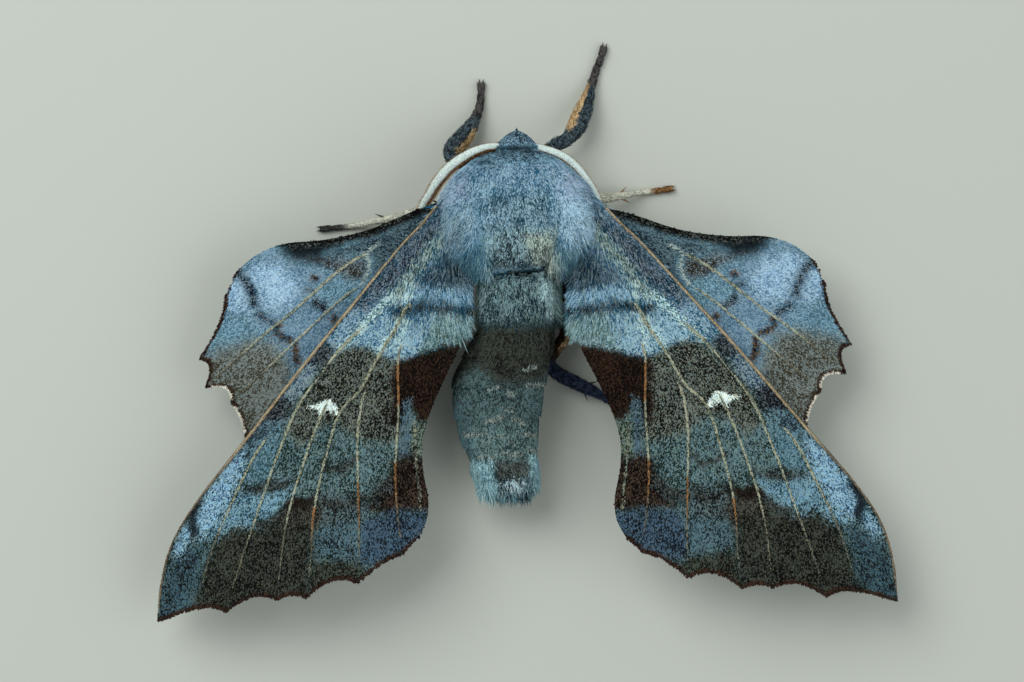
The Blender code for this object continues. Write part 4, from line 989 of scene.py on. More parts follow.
def make_base_hair(wing):
    across, along = scatter(wing, int(BASE_HAIR * thin), near_root, 0.45)
    edge_count = int(EDGE_HAIR * thin)
    across = np.append(across, wing["last"] - draw.random(edge_count) ** 2 * 0.5)
    along = np.append(along, draw.uniform(0.02, 0.27, edge_count))
    plan, _ = in_plan(wing, across, along)
    keep = inside(plan, FOREWING_LAYERS[0]["outlines"]) > -0.3
    across, along, plan, total = across[keep], along[keep], plan[keep], keep.sum()
    to_margin, normal = wing_directions(wing, across, along, 1)
    inward = ease(-plan[:, 0], -7.5, -4.0)
    sideways = wing["side"] * (0.10 - BASE_TURN[wing["side"]] * inward)
    way = unit(np.stack([sideways, np.full(total, -1.0), np.full(total, -0.02)], -1) + to_margin * 0.35)
    way = unit(way - normal * (way * normal).sum(-1, keepdims=True))
    vary = draw.uniform(0.7, 1.3, (3, total))
    at_costa = inside(plan, [stroke(FOREWING_VEINS[0]["track"], 0.9)]) > 0
    length = np.where(at_costa, 0.26, (0.54 + 0.52 * inward) * vary[0])
    numbers = wing_numbers(wing, across, along)
    numbers["m_margin"] = np.full(total, ABSENT)
    numbers["grain"] = draw.random(total)
    roots = on_wing(wing, across, along) + normal * (MEMBRANE_HALF * 0.9)
    way = turned(way, normal, draw.normal(0, 0.16, total))
    points, faces, spots = grow(TUFT_POINTS, TUFT_FACES, roots, way, normal, length, 0.085 * vary[1],
                                length * 0.2 * vary[2], np.full(total, 0.025), wing_unwrap(plan))
    new_piece(f"hair_{wing['name']}", points, faces, wing["finish"],
              each_point(numbers, TUFT_POINTS), spots)


for side in SIDES:
    make_base_hair(forewings[side])

# %% [markdown]
# ## Body: one skin
#
# The head, thorax and abdomen of a moth are hard shells joined by soft folds, but nothing of that shows
# under the fur. One closed skin runs from the head to the tip of the abdomen. It is lofted through oval
# sections a little smaller than those of the solids. Lumps and grooves on it give the fur its form: the
# collar, the two shoulder covers over the wing roots, the crest at the back of the thorax, the rings of
# the abdomen.

# %% Body sections
# Ahead, centre x, half width, lowest z, highest z.
BODY_SECTIONS = [
    (5.72, 0.28, 0.14, 6.35, 6.6), (5.52, 0.27, 0.6, 5.9, 6.85), (5.2, 0.26, 1.05, 5.2, 7.1),
    (4.8, 0.26, 1.42, 4.6, 7.35), (4.4, 0.31, 1.7, 4.3, 7.55), (4.15, 0.32, 1.84, 4.3, 7.6),
    (3.95, 0.16, 2.15, 4.2, 8.0), (3.4, 0.12, 3.2, 4.2, 8.75), (2.4, 0.17, 4.35, 3.6, 9.4),
    (1.2, 0.22, 5.1, 3.2, 9.9), (-0.4, 0.24, 5.55, 2.9, 10.2), (-2.2, 0.2, 5.35, 2.9, 10.2),
    (-4.0, 0.12, 4.45, 3.0, 9.8), (-4.8, 0.1, 3.8, 3.1, 9.2),
    (-5.3, 0.08, 3.15, 3.3, 8.45), (-5.75, 0.05, 3.0, 3.3, 8.2), (-6.3, 0.05, 3.0, 3.1, 8.2),
    (-7.6, 0.05, 3.05, 3.0, 8.2), (-8.9, -0.1, 3.05, 2.6, 7.9), (-9.5, -0.15, 3.0, 2.4, 7.6),
    (-11.2, -0.7, 3.38, 1.9, 7.4), (-13.4, -1.5, 3.65, 1.6, 7.05), (-15.6, -1.78, 3.5, 1.4, 6.65),
    (-17.9, -1.8, 3.12, 1.4, 6.15), (-19.3, -1.6, 2.82, 1.4, 5.75), (-20.8, -1.3, 2.45, 1.5, 5.35),
    (-22.0, -1.2, 2.3, 1.8, 4.8), (-22.7, -1.1, 1.45, 2.2, 4.3),
]
ABDOMEN_START = -9.3
SEGMENT_LENGTH = 2.4
SEGMENT_STEP = 0.05
# Lumps (+) and grooves (-): angle round the body in degrees, ahead, spread of each, height.
LUMPS = [
    (32, -1.2, 14, 3.0, 0.28), (148, -1.2, 14, 3.0, 0.28), (54, -1.8, 4, 2.8, -0.3),
    (126, -1.8, 4, 2.8, -0.3), (70, -3.7, 14, 1.2, 0.25), (100, -3.9, 12, 1.0, 0.2),
    (118, 3.1, 16, 0.16, -0.35), (62, 3.0, 12, 0.14, -0.25), (90, 4.2, 60, 0.1, -0.24),
    (90, -0.2, 4, 2.4, -0.1), (90, -7.4, 26, 1.0, 0.16), (128, -6.6, 9, 1.1, 0.22),
    (50, -6.6, 9, 1.1, 0.22), (80, -5.42, 15, 0.17, -0.8), (42, -5.05, 9, 0.14, -0.5),
    (90, 3.7, 40, 0.3, 0.12), (175, -13.4, 30, 3.0, 0.1), (168, 1.3, 32, 1.9, 0.5),
    (10, 1.6, 26, 1.4, 0.12), (90, -5.3, 55, 0.16, -0.3),
]
body_line = smooth_line(BODY_SECTIONS, 6)[::-1]


def on_body(turn, ahead):
    """A place on the skin, at an angle round the body and a distance ahead."""
    centre, half_width, low, high = (np.interp(ahead, body_line[:, 0], column)
                                     for column in body_line[:, 1:].T)
    share = ((ABDOMEN_START - ahead) / SEGMENT_LENGTH) % 1.0
    drawn_in = np.where(ahead < ABDOMEN_START, 1 - SEGMENT_STEP * (1 - share) ** 2, 1.0)
    swell = np.zeros_like(turn)
    for angle, spot, wide, long, height in LUMPS:
        off = (np.degrees(turn) - angle + 180) % 360 - 180
        swell = swell + height * np.exp(-((off / wide) ** 2) - ((ahead - spot) / long) ** 2)
    x = centre + (half_width * drawn_in + swell) * np.cos(turn)
    z = (low + high) / 2 + ((high - low) / 2 * drawn_in + swell) * np.sin(turn)
    return np.stack([x, ahead, z], -1)


def body_directions(turn, ahead):
    """Backwards along the skin, and outwards from it."""
    back = unit(on_body(turn, ahead - 0.05) - on_body(turn, ahead + 0.05))
    round_it = unit(on_body(turn + 0.02, ahead) - on_body(turn - 0.02, ahead))
    return back, unit(np.cross(round_it, back))


# %% [markdown]
# ## Body: the markings
#
# The fur is slate blue with a lilac bloom in front, paler on the shoulder covers, warm grey on the
# crest, and darker at the base of the abdomen. Pale broken rings mark the hind edges of the abdomen's
# segments, and two pale brushes stand at its end. They are outlines in the plan again, seen from above,
# with one marking more for the paler underside. Two more are painted shade: dark strokes in the collar's
# grooves, and the shadow in the slits under the crest's rear edge.

# %% Body markings
def both(outline):
    """An outline and its mirror image."""
    return outline, [(-x, ahead) for x, ahead in outline]


BODY_BASE = {"ground": (0.045, 0.158, 0.237), "fleck": (0.318, 0.545, 0.701), "share": 0.5}
BODY_LAYERS = [
    layer("front", (0.028, 0.131, 0.227), (0.359, 0.541, 0.656), 0.5, 1.4, 1.0,
          [(-3.4, 3.2), (3.4, 3.2), (3.2, 1.0), (-3.2, 1.0)]),
    layer("middle", (0.0141, 0.055, 0.088), (0.301, 0.48, 0.581), 0.48, 1.4, 1.25,
          [(-2.6, 1.1), (2.6, 1.1), (2.8, -2.0), (-2.4, -2.0)]),
    layer("side_lilac", (0.08, 0.174, 0.245), (0.375, 0.512, 0.647), 0.55, 1.26, 1.0,
          *both([(3.3, 2.8), (5.0, 2.2), (6.4, 0.6), (6.0, 0.0), (3.3, 0.2)])),
    layer("side_pale", (0.063, 0.15, 0.227), (0.431, 0.649, 0.773), 0.58, 1.26, 1.0,
          [(3.1, 0.4), (6.4, 0.2), (6.2, -2.8), (4.6, -3.0), (3.1, -2.4)]),
    layer("side_pale_left", (0.042, 0.102, 0.152), (0.3, 0.463, 0.552), 0.56, 1.26, 1.0,
          [(-3.1, 0.4), (-6.4, 0.2), (-6.2, -2.8), (-4.6, -3.0), (-3.1, -2.4)]),
    layer("side_teal", (0.041, 0.117, 0.176), (0.106, 0.233, 0.283), 0.5, 1.26, 1.12,
          *both([(2.3, -2.6), (4.6, -3.0), (5.6, -2.9), (5.2, -5.6), (2.5, -5.6)])),
    layer("crest", (0.0132, 0.027, 0.035), (0.305, 0.479, 0.527), 0.5, 1.12, 1.25,
          [(-2.2, -1.6), (3.0, -1.6), (3.1, -5.2), (-2.4, -5.2)]),
    layer("crest_warm", (0.085, 0.115, 0.105), (0.44, 0.56, 0.5), 0.5, 0.98, 1.3,
          [(0.8, -2.2), (2.9, -2.2), (2.9, -4.8), (1.4, -4.4)]),
    layer("head", (0.014, 0.026, 0.034), (0.25, 0.43, 0.57), 0.45, 0.7, 0.75,
          [(-2.6, 4.25), (2.6, 4.25), (1.4, 6.5), (-1.4, 6.5)]),
    layer("neck", (0.022, 0.05, 0.072), (0.25, 0.44, 0.56), 0.45, 0.5, 0.8,
          [(-2.8, 4.3), (2.8, 4.3), (3.2, 3.5), (1.6, 3.25), (-1.4, 3.3), (-3.2, 3.5)]),
    # Painted shade: dark strokes along the collar's grooves, behind the head and across the neck.
    layer("collar_groove_shade", (0.03, 0.055, 0.075), (0.12, 0.19, 0.24), 0.35, 0.25, 0.5,
          stroke([(-2.6, 3.3), (-2.0, 3.4), (-1.5, 3.4)], 0.2),
          stroke([(-1.4, 4.15), (0, 4.25), (1.0, 4.2), (2.0, 3.95)], 0.2)),
    # Painted shadow: the dark slits under the rear edge of the thorax's crest, where it overhangs the block.
    layer("slit_shadows", (0.002, 0.002, 0.002), (0.012, 0.012, 0.01), 0.2, 0.2, 0.35,
          stroke([(-1.9, -5.5), (-0.9, -5.45), (0.4, -5.4), (1.6, -5.3), (2.6, -5.3)], 0.3),
          stroke([(-0.9, -5.45), (0.4, -5.42), (1.4, -5.36)], 0.5),
          stroke([(2.0, -4.9), (2.8, -4.8)], 0.24)),
    layer("block", (0.012, 0.032, 0.042), (0.2, 0.32, 0.33), 0.48, 0.4, 0.6,
          [(-4.0, -5.4), (4.0, -5.4), (4.0, -9.4), (-4.0, -9.4)]),
    layer("block_side", (0.17, 0.27, 0.27), (0.46, 0.68, 0.7), 0.55, 0.7, 0.88,
          [(1.8, -5.4), (4.2, -5.4), (4.2, -8.8), (2.4, -8.5), (1.9, -7.2)],
          [(-2.4, -5.5), (-4.0, -5.5), (-4.0, -8.2), (-3.1, -8.2), (-2.6, -7.2)]),
    layer("abdomen", (0.016, 0.027, 0.027), (0.095, 0.16, 0.165), 0.52, 0.6, 0.9,
          [(-6.5, -9.2), (4, -9.2), (3, -24), (-6.5, -24)]),
    layer("abdomen_dark", (0.009, 0.01, 0.008), (0.052, 0.062, 0.05), 0.5, 1.4, 1.5,
          [(-5.4, -9.25), (3.6, -9.25), (3.3, -11.6), (1.6, -13.6), (-1.6, -13.8), (-3.2, -12.4),
           (-5.4, -13.6)]),
    layer("abdomen_low", (0.03, 0.052, 0.052), (0.155, 0.26, 0.26), 0.55, 1.2, 1.2,
          [(-4.6, -17.4), (1.8, -17.4), (1.6, -19.9), (-4.4, -19.9)]),
    layer("slate_side", (0.063, 0.071, 0.064), (0.087, 0.179, 0.203), 0.5, 1.12, 0.75,
          [(-6.4, -14.6), (-4.3, -15.2), (-4.0, -19.8), (-6.4, -19.8)]),
    layer("rings", (0.04, 0.055, 0.05), (0.27, 0.33, 0.3), 0.5, 0.2, 0.45,
          stroke([(0.3, -12.7), (1.35, -12.5)], 0.24), stroke([(-2.5, -14.15), (-1.7, -14.1)], 0.2),
          stroke([(0.4, -14.0), (2.1, -14.0)], 0.2), stroke([(-1.0, -14.5), (-0.5, -14.7)], 0.22),
          stroke([(-1.3, -15.8), (-0.4, -16.0)], 0.16),
          stroke([(-2.8, -16.65), (-2.0, -16.55), (-1.3, -16.3)], 0.26),
          stroke([(-0.7, -16.5), (0.2, -17.0)], 0.22),
          stroke([(-4.5, -17.65), (-3.6, -17.7), (-2.7, -17.6)], 0.2),
          stroke([(0.1, -17.75), (1.4, -17.98)], 0.18), stroke([(-3.1, -18.15), (-1.4, -17.85)], 0.14),
          stroke([(-0.95, -18.2), (-0.6, -18.65)], 0.14), stroke([(-3.4, -19.45), (-2.2, -19.6)], 0.24),
          stroke([(-1.8, -19.1), (-0.8, -19.35), (0.1, -19.4)], 0.2),
          stroke([(0.4, -19.0), (1.1, -19.3)], 0.2), stroke([(-1.1, -20.7), (-0.55, -20.7)], 0.22)),
    layer("tail_brown", (0.018, 0.024, 0.022), (0.11, 0.14, 0.13), 0.48, 0.6, 1.0,
          [(-2.0, -19.9), (0.3, -19.9), (0.4, -21.2), (-1.95, -21.2)]),
    layer("tail_pale", (0.1, 0.22, 0.26), (0.36, 0.58, 0.62), 0.58, 0.56, 0.5,
          [(-5.0, -19.8), (-2.4, -19.8), (-2.1, -22.6), (-5.0, -23.4)],
          [(0.55, -19.5), (2.6, -19.5), (2.6, -23.4), (0.65, -22.8)]),
    layer("tail_tip", (0.006, 0.0121, 0.015), (0.16, 0.3, 0.34), 0.46, 0.56, 0.62,
          [(-2.15, -21.3), (0.5, -21.3), (0.8, -24.4), (-2.4, -24.4)]),
    layer("tail_white", (0.05, 0.08, 0.09), (0.42, 0.58, 0.6), 0.62, 0.3, 0.7,
          stroke([(-1.8, -21.6), (-0.9, -21.45), (0.0, -21.55)], 0.34)),
    layer("under", (0.1, 0.105, 0.09), (0.3, 0.31, 0.27), 0.55, 0.9, 0.8),
]
body_finish = marked_material("body_fur", BODY_BASE, BODY_LAYERS, 0.78, 0.5, warmth=0.35)


def body_numbers(points, outward):
    numbers = distances(points[:, :2], BODY_LAYERS)
    numbers["m_under"] = -outward[:, 2] * 2.0 - 0.9
    numbers["grain"] = draw.random(len(points))
    return numbers


# %% Body skin
def loft_faces(rings, round_it):
    """Triangles of a closed tube of rings, with a middle point at each end put last."""
    index = np.arange(rings * round_it).reshape(rings, round_it)
    nxt = np.roll(index, -1, axis=1)
    a, b, c, d = index[:-1], nxt[:-1], nxt[1:], index[1:]
    walls = np.stack([a, b, c, a, c, d], -1).reshape(-1, 3)
    first, last = rings * round_it, rings * round_it + 1
    caps = [np.stack([nxt[0], index[0], np.full(round_it, first)], -1),
            np.stack([index[-1], nxt[-1], np.full(round_it, last)], -1)]
    return np.vstack([walls, *caps])


def closed_loft(rings):
    """Points and outward faces of a tube through rings of points."""
    count, round_it, _ = rings.shape
    ends = np.stack([rings[0].mean(0), rings[-1].mean(0)])
    points = np.vstack([rings.reshape(-1, 3), ends])
    faces = loft_faces(count, round_it)
    a, b, c = (points[faces[:, k]] for k in range(3))
    volume = (np.cross(a, b) * c).sum()
    return points, (faces if volume > 0 else faces[:, ::-1])


def full_turn(count):
    """Evenly spaced angles all the way round."""
    return np.linspace(0, 2 * np.pi, count + 1)[:-1]


BODY_FRONT, BODY_BACK = 5.72, -22.7
BODY_ROUND, BODY_RINGS = 96, 220
turn_grid, ahead_grid = np.meshgrid(full_turn(BODY_ROUND), np.linspace(BODY_FRONT, BODY_BACK, BODY_RINGS))
body_points, body_faces = closed_loft(on_body(turn_grid, ahead_grid))
_, outward = body_directions(turn_grid.ravel(), ahead_grid.ravel())
outward = np.vstack([outward, [[0, 1, 0], [0, -1, 0]]])
body_skin = new_piece("body_skin", body_points, body_faces, body_finish,
                      body_numbers(body_points, outward), smooth=True)
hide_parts("head", "thorax", "abdomen")

# %% [markdown]
# ## Body: the fur
#
# The fur lies back along the body in short, flat tufts, each one a hair's bundle. It is longest on the
# shoulder covers and the crest, and shortest on the face and the abdomen's back. Hair curves would be
# the usual way in Blender, but they don't export, so the tufts are the six-triangle leaves from above.
# Their size, lean and density change along the body. Neighbouring tufts belong to a lock, which turns
# and shades them together. The coat is divided at the waist and along the middle of the back into four
# pieces.

# %% Fur along the body
# Ahead, tuft length, tuft width, lean (share of the length that the tip stands off).
FUR_TABLE = np.array([
    (6.2, 0.22, 0.065, 0.30), (4.5, 0.26, 0.07, 0.35), (4.0, 0.38, 0.08, 0.45), (2.0, 0.42, 0.09, 0.42),
    (-1.0, 0.46, 0.09, 0.40), (-4.2, 0.5, 0.09, 0.38), (-5.1, 0.16, 0.09, 0.25), (-6.0, 0.44, 0.09, 0.42),
    (-8.6, 0.46, 0.095, 0.42), (-9.8, 0.34, 0.11, 0.34), (-14.0, 0.25, 0.12, 0.36),
    (-19.0, 0.27, 0.115, 0.36), (-22.7, 0.5, 0.10, 0.40),
])[::-1]
WAIST = -5.3
# A lock of hair: its angle round the body, and its length in mm.
STRAND_TURN = 0.06
STRAND_LENGTH = 1.3
STRAND_COLUMNS, STRAND_ROWS = 113, 61
STRAND_GRAIN = 0.25
FUR_ROOT_DEPTH = 0.05
TURN_CELLS, AHEAD_CELLS = 73, 121


def fur_spots(count, front, back, first, last, under_share):
    """Angles and distances ahead of many tufts, spread evenly over the skin between two ends and angles."""
    a_edges, f_edges = np.linspace(first, last, TURN_CELLS), np.linspace(back, front, AHEAD_CELLS)
    a, f = (0.5 * (edges[1:] + edges[:-1]) for edges in (a_edges, f_edges))
    turn, ahead = (grid.ravel() for grid in np.meshgrid(a, f))
    by_turn = on_body(turn + 0.01, ahead) - on_body(turn - 0.01, ahead)
    by_ahead = on_body(turn, ahead + 0.02) - on_body(turn, ahead - 0.02)
    area = np.linalg.norm(np.cross(by_turn, by_ahead), axis=-1)
    up = body_directions(turn, ahead)[1][:, 2]
    area = area * (under_share + (1 - under_share) * ease(up, -0.5, 0.3))
    picked = draw.choice(len(area), count, p=area / area.sum())
    step_a, step_f = a_edges[1] - a_edges[0], f_edges[1] - f_edges[0]
    turn = turn[picked] + (draw.random(count) - 0.5) * step_a
    return turn, ahead[picked] + (draw.random(count) - 0.5) * step_f


strand_table = draw.random((2, STRAND_COLUMNS, STRAND_ROWS))


def strand(turn, ahead):
    """Two numbers for the lock of hair that a place belongs to, the same for all of its tufts."""
    wavy = turn + 0.02 * np.sin(3.1 * ahead + 9 * turn)
    column = np.floor(wavy / STRAND_TURN).astype(int) % STRAND_COLUMNS
    row = np.floor(ahead / STRAND_LENGTH + strand_table[0, column, 0]).astype(int) % STRAND_ROWS
    return strand_table[:, column, row]


def make_fur(name, turn, ahead, length=None, lean=None, width=None, way=None):
    """One piece of the coat, at places on the skin."""
    count = len(turn)
    lock = strand(turn, ahead)
    root = on_body(turn, ahead)
    back, outward = body_directions(turn, ahead)
    usual = [np.interp(ahead, FUR_TABLE[:, 0], FUR_TABLE[:, k]) for k in (1, 2, 3)]
    length, width, lean = (own if given is None else given
                           for own, given in zip(usual, (length, width, lean)))
    vary = draw.uniform(0.72, 1.3, (3, count))
    along = turned(back if way is None else way, outward, draw.normal(0, 0.2, count) + 0.8 * (lock[1] - 0.5))
    places = np.stack([(turn / (2 * np.pi)) % 1.0, (ahead + 23.5) / 30.5], -1)
    points, faces, spots = grow(TUFT_POINTS, TUFT_FACES, root - outward * FUR_ROOT_DEPTH, along, outward,
                                length * vary[0], width * vary[1], length * lean * vary[2], width * 0.35,
                                places)
    numbers = body_numbers(root, outward)
    numbers["grain"] = (1 - STRAND_GRAIN) * numbers["grain"] + STRAND_GRAIN * lock[0]
    new_piece(name, points, faces, body_finish, each_point(numbers, TUFT_POINTS), spots)


HALVES = {"right": (-0.5 * np.pi, 0.5 * np.pi), "left": (0.5 * np.pi, 1.5 * np.pi)}
for side, angles in HALVES.items():
    make_fur(f"fur_thorax_{side}", *fur_spots(int(22500 * thin), 4.1, WAIST, *angles, 0.25))
    make_fur(f"fur_abdomen_{side}", *fur_spots(int(15500 * thin), WAIST, BODY_BACK, *angles, 0.3))

# %% [markdown]
# ## Body: brushes
#
# Longer hairs stand out in places: from the shoulders back over the wing roots, from the rear corners
# of the thorax, and at the tip of the abdomen, where two pale brushes flank a speckled one. They are
# the same leaves, only longer, and they point back and a little outwards instead of following the skin.

# %% Brushes
BRUSH_WIDTH = 0.075
# Name, angles round the body, from and to ahead, number, length, way (x, ahead, z), lean.
BRUSHES = [
    ("front_right", (5, 48), (2.2, -0.6), 1500, 1.0, (0.95, -0.75, -0.30), 0.16),
    ("front_left", (132, 175), (2.0, -0.8), 1300, 0.85, (-0.8, -0.85, -0.30), 0.16),
    ("shoulder_right", (5, 50), (0.8, -3.4), 2000, 1.3, (0.5, -1.0, -0.12), 0.16),
    ("shoulder_left", (130, 175), (0.8, -3.4), 2000, 1.3, (-0.42, -1.0, -0.12), 0.16),
    ("rear_right", (20, 55), (-3.4, -4.9), 800, 1.2, (0.10, -1.0, -0.12), 0.12),
    ("rear_left", (125, 160), (-3.4, -4.9), 800, 1.2, (-0.10, -1.0, -0.12), 0.12),
    ("block_right", (-35, 22), (-4.8, -9.0), 1500, 0.8, (0.5, -1.0, 0.0), 0.14),
    ("block_left", (158, 215), (-4.8, -8.6), 1100, 0.7, (-0.35, -1.0, 0.0), 0.14),
    ("head_crest", (80, 100), (5.5, 5.68), 16, 0.36, (0.0, 1.0, 0.1), 0.05),
    ("tail_right", (-35, 40), (-19.8, -21.9), 1500, 0.85, (0.24, -1.0, -0.04), 0.08),
    ("tail_left", (138, 215), (-20.0, -21.9), 1800, 0.85, (-0.12, -1.0, -0.04), 0.08),
    ("tail_left_end", (135, 200), (-21.6, -22.1), 50, 1.5, (0.0, -1.0, -0.05), 0.06),
    ("tail_middle", (30, 150), (-21.4, -22.6), 1100, 1.0, (0.05, -1.0, -0.12), 0.08),
]
for name, angles, reach, number, long, way, lean in BRUSHES:
    number = int(number * thin)
    turn = np.radians(draw.uniform(*angles, number))
    ahead = draw.uniform(*sorted(reach), number)
    make_fur("brush_" + name, turn, ahead, np.full(number, long), np.full(number, lean),
             np.full(number, BRUSH_WIDTH), unit(np.tile(np.array(way), (number, 1))))

# %% [markdown]
# ## Head
#
# From above, the head is a small dark wedge between the roots of the feelers. Its fur points forwards
# and meets in a short crest. Below it are the two palps, the furry feelers of the mouth, and at the
# sides the large compound eyes. The eye is a ball of some thousands of small lenses: a fine icosphere
# whose coarser points are pushed out gives each lens its own little dome.

# %% Head fur
turn, ahead = fur_spots(int(5600 * thin), BODY_FRONT, 4.2, 0.0, 2 * np.pi, 0.5)
back, _ = body_directions(turn, ahead)
make_fur("fur_head", turn, ahead, way=-back)

# %% Eyes
EYE_CENTRE = (1.52, 3.95, 5.05)
EYE_RADIUS = 0.86
LENS_DOME = 0.012
LENS_SPLITS = 5


def lens_ball(radius):
    """A ball of small domes: points and triangles."""
    shape = bmesh.new()
    bmesh.ops.create_icosphere(shape, subdivisions=LENS_SPLITS, radius=radius)
    coarse = len(shape.verts)
    bmesh.ops.subdivide_edges(shape, edges=shape.edges, cuts=1, use_grid_fill=True)
    shape.verts.ensure_lookup_table()
    points = unit(np.array([vertex.co[:] for vertex in shape.verts])) * radius
    points[:coarse] *= 1 + LENS_DOME / radius
    bmesh.ops.triangulate(shape, faces=shape.faces)
    faces = np.array([[vertex.index for vertex in face.verts] for face in shape.faces])
    shape.free()
    return points, faces


eye_finish, tree, inputs = new_material("compound_eye")
noise = use_group(tree, fray, Size=0.35)
tint = mix_colours(tree, noise["Fine"], (0.012, 0.008, 0.006, 1), (0.05, 0.032, 0.02, 1))
tree.links.new(tint, inputs["Base Color"])
tree.links.new(ramp(tree, noise["Fine"], 0, 1, 0.2, 0.38), inputs["Roughness"])

for side, sign in SIDES.items():
    points, faces = lens_ball(EYE_RADIUS)
    centre = np.array(EYE_CENTRE) * (sign, 1, 1)
    eye = new_piece(f"eyeball_{side}", points + centre, faces, eye_finish, smooth=True)
    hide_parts("eye_" + side)

# %% [markdown]
# ## Limbs: tubes with a coat
#
# Palps, feelers and legs are all tapered tubes along a smooth line. One helper makes the tube and
# another one grows fur on it. The material reads three numbers on the mesh: the share of the way along,
# how far a place faces up, and how far it faces the front of the moth.

# %% Tubes and their coats
FLOOR_CLEARANCE = 0.01


def limb_frame(table):
    """Way along a limb, and two directions square to it, at each step of its table."""
    way = unit(np.gradient(table[:, :3], axis=0))
    aside = unit(np.cross(way, np.array([0.0, 0.0, 1.0])))
    return way, aside, np.cross(aside, way)


def around(table, share, turn, scale):
    """Points on a limb's surface, with the way along it and outwards there."""
    spot = np.clip(share, 0, 1) * STEPS
    j = np.clip(spot.astype(int), 0, STEPS - 1)
    u = (spot - j)[..., None]
    way, aside, up = (v[j] * (1 - u) + v[j + 1] * u for v in limb_frame(table))
    row = table[j] * (1 - u) + table[j + 1] * u
    outward = unit(aside * np.cos(turn)[..., None] + up * np.sin(turn)[..., None])
    points = row[..., :3] + outward * (row[..., 3] * scale)[..., None]
    points[..., 2] = np.maximum(points[..., 2], FLOOR_CLEARANCE)
    return points, unit(way), outward


def limb_numbers(share, outward):
    numbers = {"m_along": share, "m_up": outward[:, 2], "m_front": outward[:, 1]}
    numbers["grain"] = draw.random(len(share))
    return numbers


def tube(table, radius_of, rings, round_it):
    """Points, faces and numbers of a limb's skin. radius_of gives the share of the table's radius."""
    share, turn = np.meshgrid(np.linspace(0, 1, rings), full_turn(round_it), indexing="ij")
    points, _, outward = around(table, share, turn, radius_of(share))
    made, faces = closed_loft(points)
    outward = np.vstack([outward.reshape(-1, 3), [[0, 0, 1]] * 2])
    return made, faces, limb_numbers(np.append(share.ravel(), [0, 1]), outward)


def limb_fur(points, way, outward, turn, share, length, width, lift):
    """Tufts that stand on a limb: points, faces and bake map."""
    count = len(points)
    way = turned(way, outward, draw.normal(0, 0.2, count))
    return grow(TUFT_POINTS, TUFT_FACES, points, way, outward, length, width, lift, np.full(count, 0.02),
                limb_unwrap(turn, share))


def limb_unwrap(turn, share):
    return np.stack([turn / (2 * np.pi), share], -1)


def mirrored(stations, side):
    return [(side * x, *rest) for x, *rest in stations]

# %% Palps
PALP_PATH = [
    (0.4, 3.9, 4.15, 0.28), (0.4, 4.5, 4.15, 0.3), (0.4, 4.85, 4.7, 0.28), (0.35, 4.9, 5.3, 0.13),
]
PALP_TUFTS = 1300
PALP_SKIN = 0.8
HEAD_MIDDLE = 0.2
for side, sign in SIDES.items():
    table, _ = even_table(smooth_line(mirrored(PALP_PATH, sign)), 3)
    table[:, 0] += HEAD_MIDDLE
    points, faces, _ = tube(table, lambda share: np.full(share.shape, PALP_SKIN), 30, 16)
    new_piece(f"palp_{side}", points, faces, body_finish,
              body_numbers(points, np.zeros_like(points)), smooth=True)
    share, turn = draw.random(PALP_TUFTS), draw.uniform(0, 2 * np.pi, PALP_TUFTS)
    points, way, outward = around(table, share, turn, np.full(PALP_TUFTS, PALP_SKIN))
    vary = draw.uniform(0.75, 1.3, PALP_TUFTS)
    made, faces, spots = limb_fur(points, way, outward, turn, share, 0.3 * vary, 0.07 * vary, 0.09 * vary)
    numbers = each_point(body_numbers(points, outward), TUFT_POINTS)
    new_piece(f"fur_palp_{side}", made, faces, body_finish, numbers, spots)

# %% [markdown]
# ## Feelers
#
# The feelers are held back along the sides of the thorax. They are made of some sixty short rings,
# covered in white scales above and bare orange-brown behind and below, where fine bristles stand. The
# rings are in the mesh: the radius dips at each joint.

# %% Feeler paths
# Stations of a feeler from its root: x, ahead, height and radius.
ANTENNA_PATHS = {
    "left": [(0.9, 4.55, 6.4, 0.26), (1.9, 4.55, 6.4, 0.3), (2.95, 4.25, 6.4, 0.36),
             (3.97, 3.74, 6.4, 0.4), (4.98, 3.03, 6.3, 0.42), (5.9, 2.05, 6.0, 0.42),
             (6.62, 1.02, 5.5, 0.39), (7.3, -0.05, 5.0, 0.33), (7.95, -1.7, 4.5, 0.24),
             (8.35, -3.7, 4.3, 0.2), (8.55, -5.5, 4.2, 0.16), (8.35, -6.5, 4.2, 0.08)],
    "right": [(0.9, 4.5, 6.4, 0.26), (1.9, 4.4, 6.4, 0.26), (2.95, 4.1, 6.4, 0.28),
              (3.95, 3.6, 6.4, 0.29), (4.85, 2.85, 6.3, 0.29), (5.6, 1.85, 6.0, 0.29),
              (6.25, 0.75, 5.5, 0.28), (6.7, -0.4, 5.0, 0.27), (7.0, -2.0, 4.5, 0.24),
              (7.4, -4.0, 4.3, 0.2), (7.6, -5.8, 4.2, 0.16), (7.4, -6.8, 4.2, 0.08)],
}

# %% Feeler looks
antenna_finish = marked_material(
    "antenna", {"ground": (0.16, 0.07, 0.025), "fleck": (0.36, 0.19, 0.08), "share": 0.5},
    [layer("white", (0.47, 0.56, 0.51), (0.64, 0.76, 0.72), 0.7, 0.25, 0.15)], 0.55, 0.4,
    relief_size=0.05, warmth=0.1)
# How much of each feeler is bare: more of the left one, which is rolled a little forwards.
BARE_BACK = {"left": 0.58, "right": 0.28}
ANTENNA_RINGS = 62
RING_STEPS = 6
FEELER_SCALES = 5200


def antenna_numbers(numbers, side):
    numbers["m_white"] = numbers["m_up"] + 0.45 * numbers["m_front"] - BARE_BACK[side]
    return numbers


def antenna_radius(share):
    """A little over the solid one's, with a dip at each joint."""
    return 1.02 * (1 - 0.14 * (np.abs(np.sin(share * np.pi * ANTENNA_RINGS)) < 0.35))

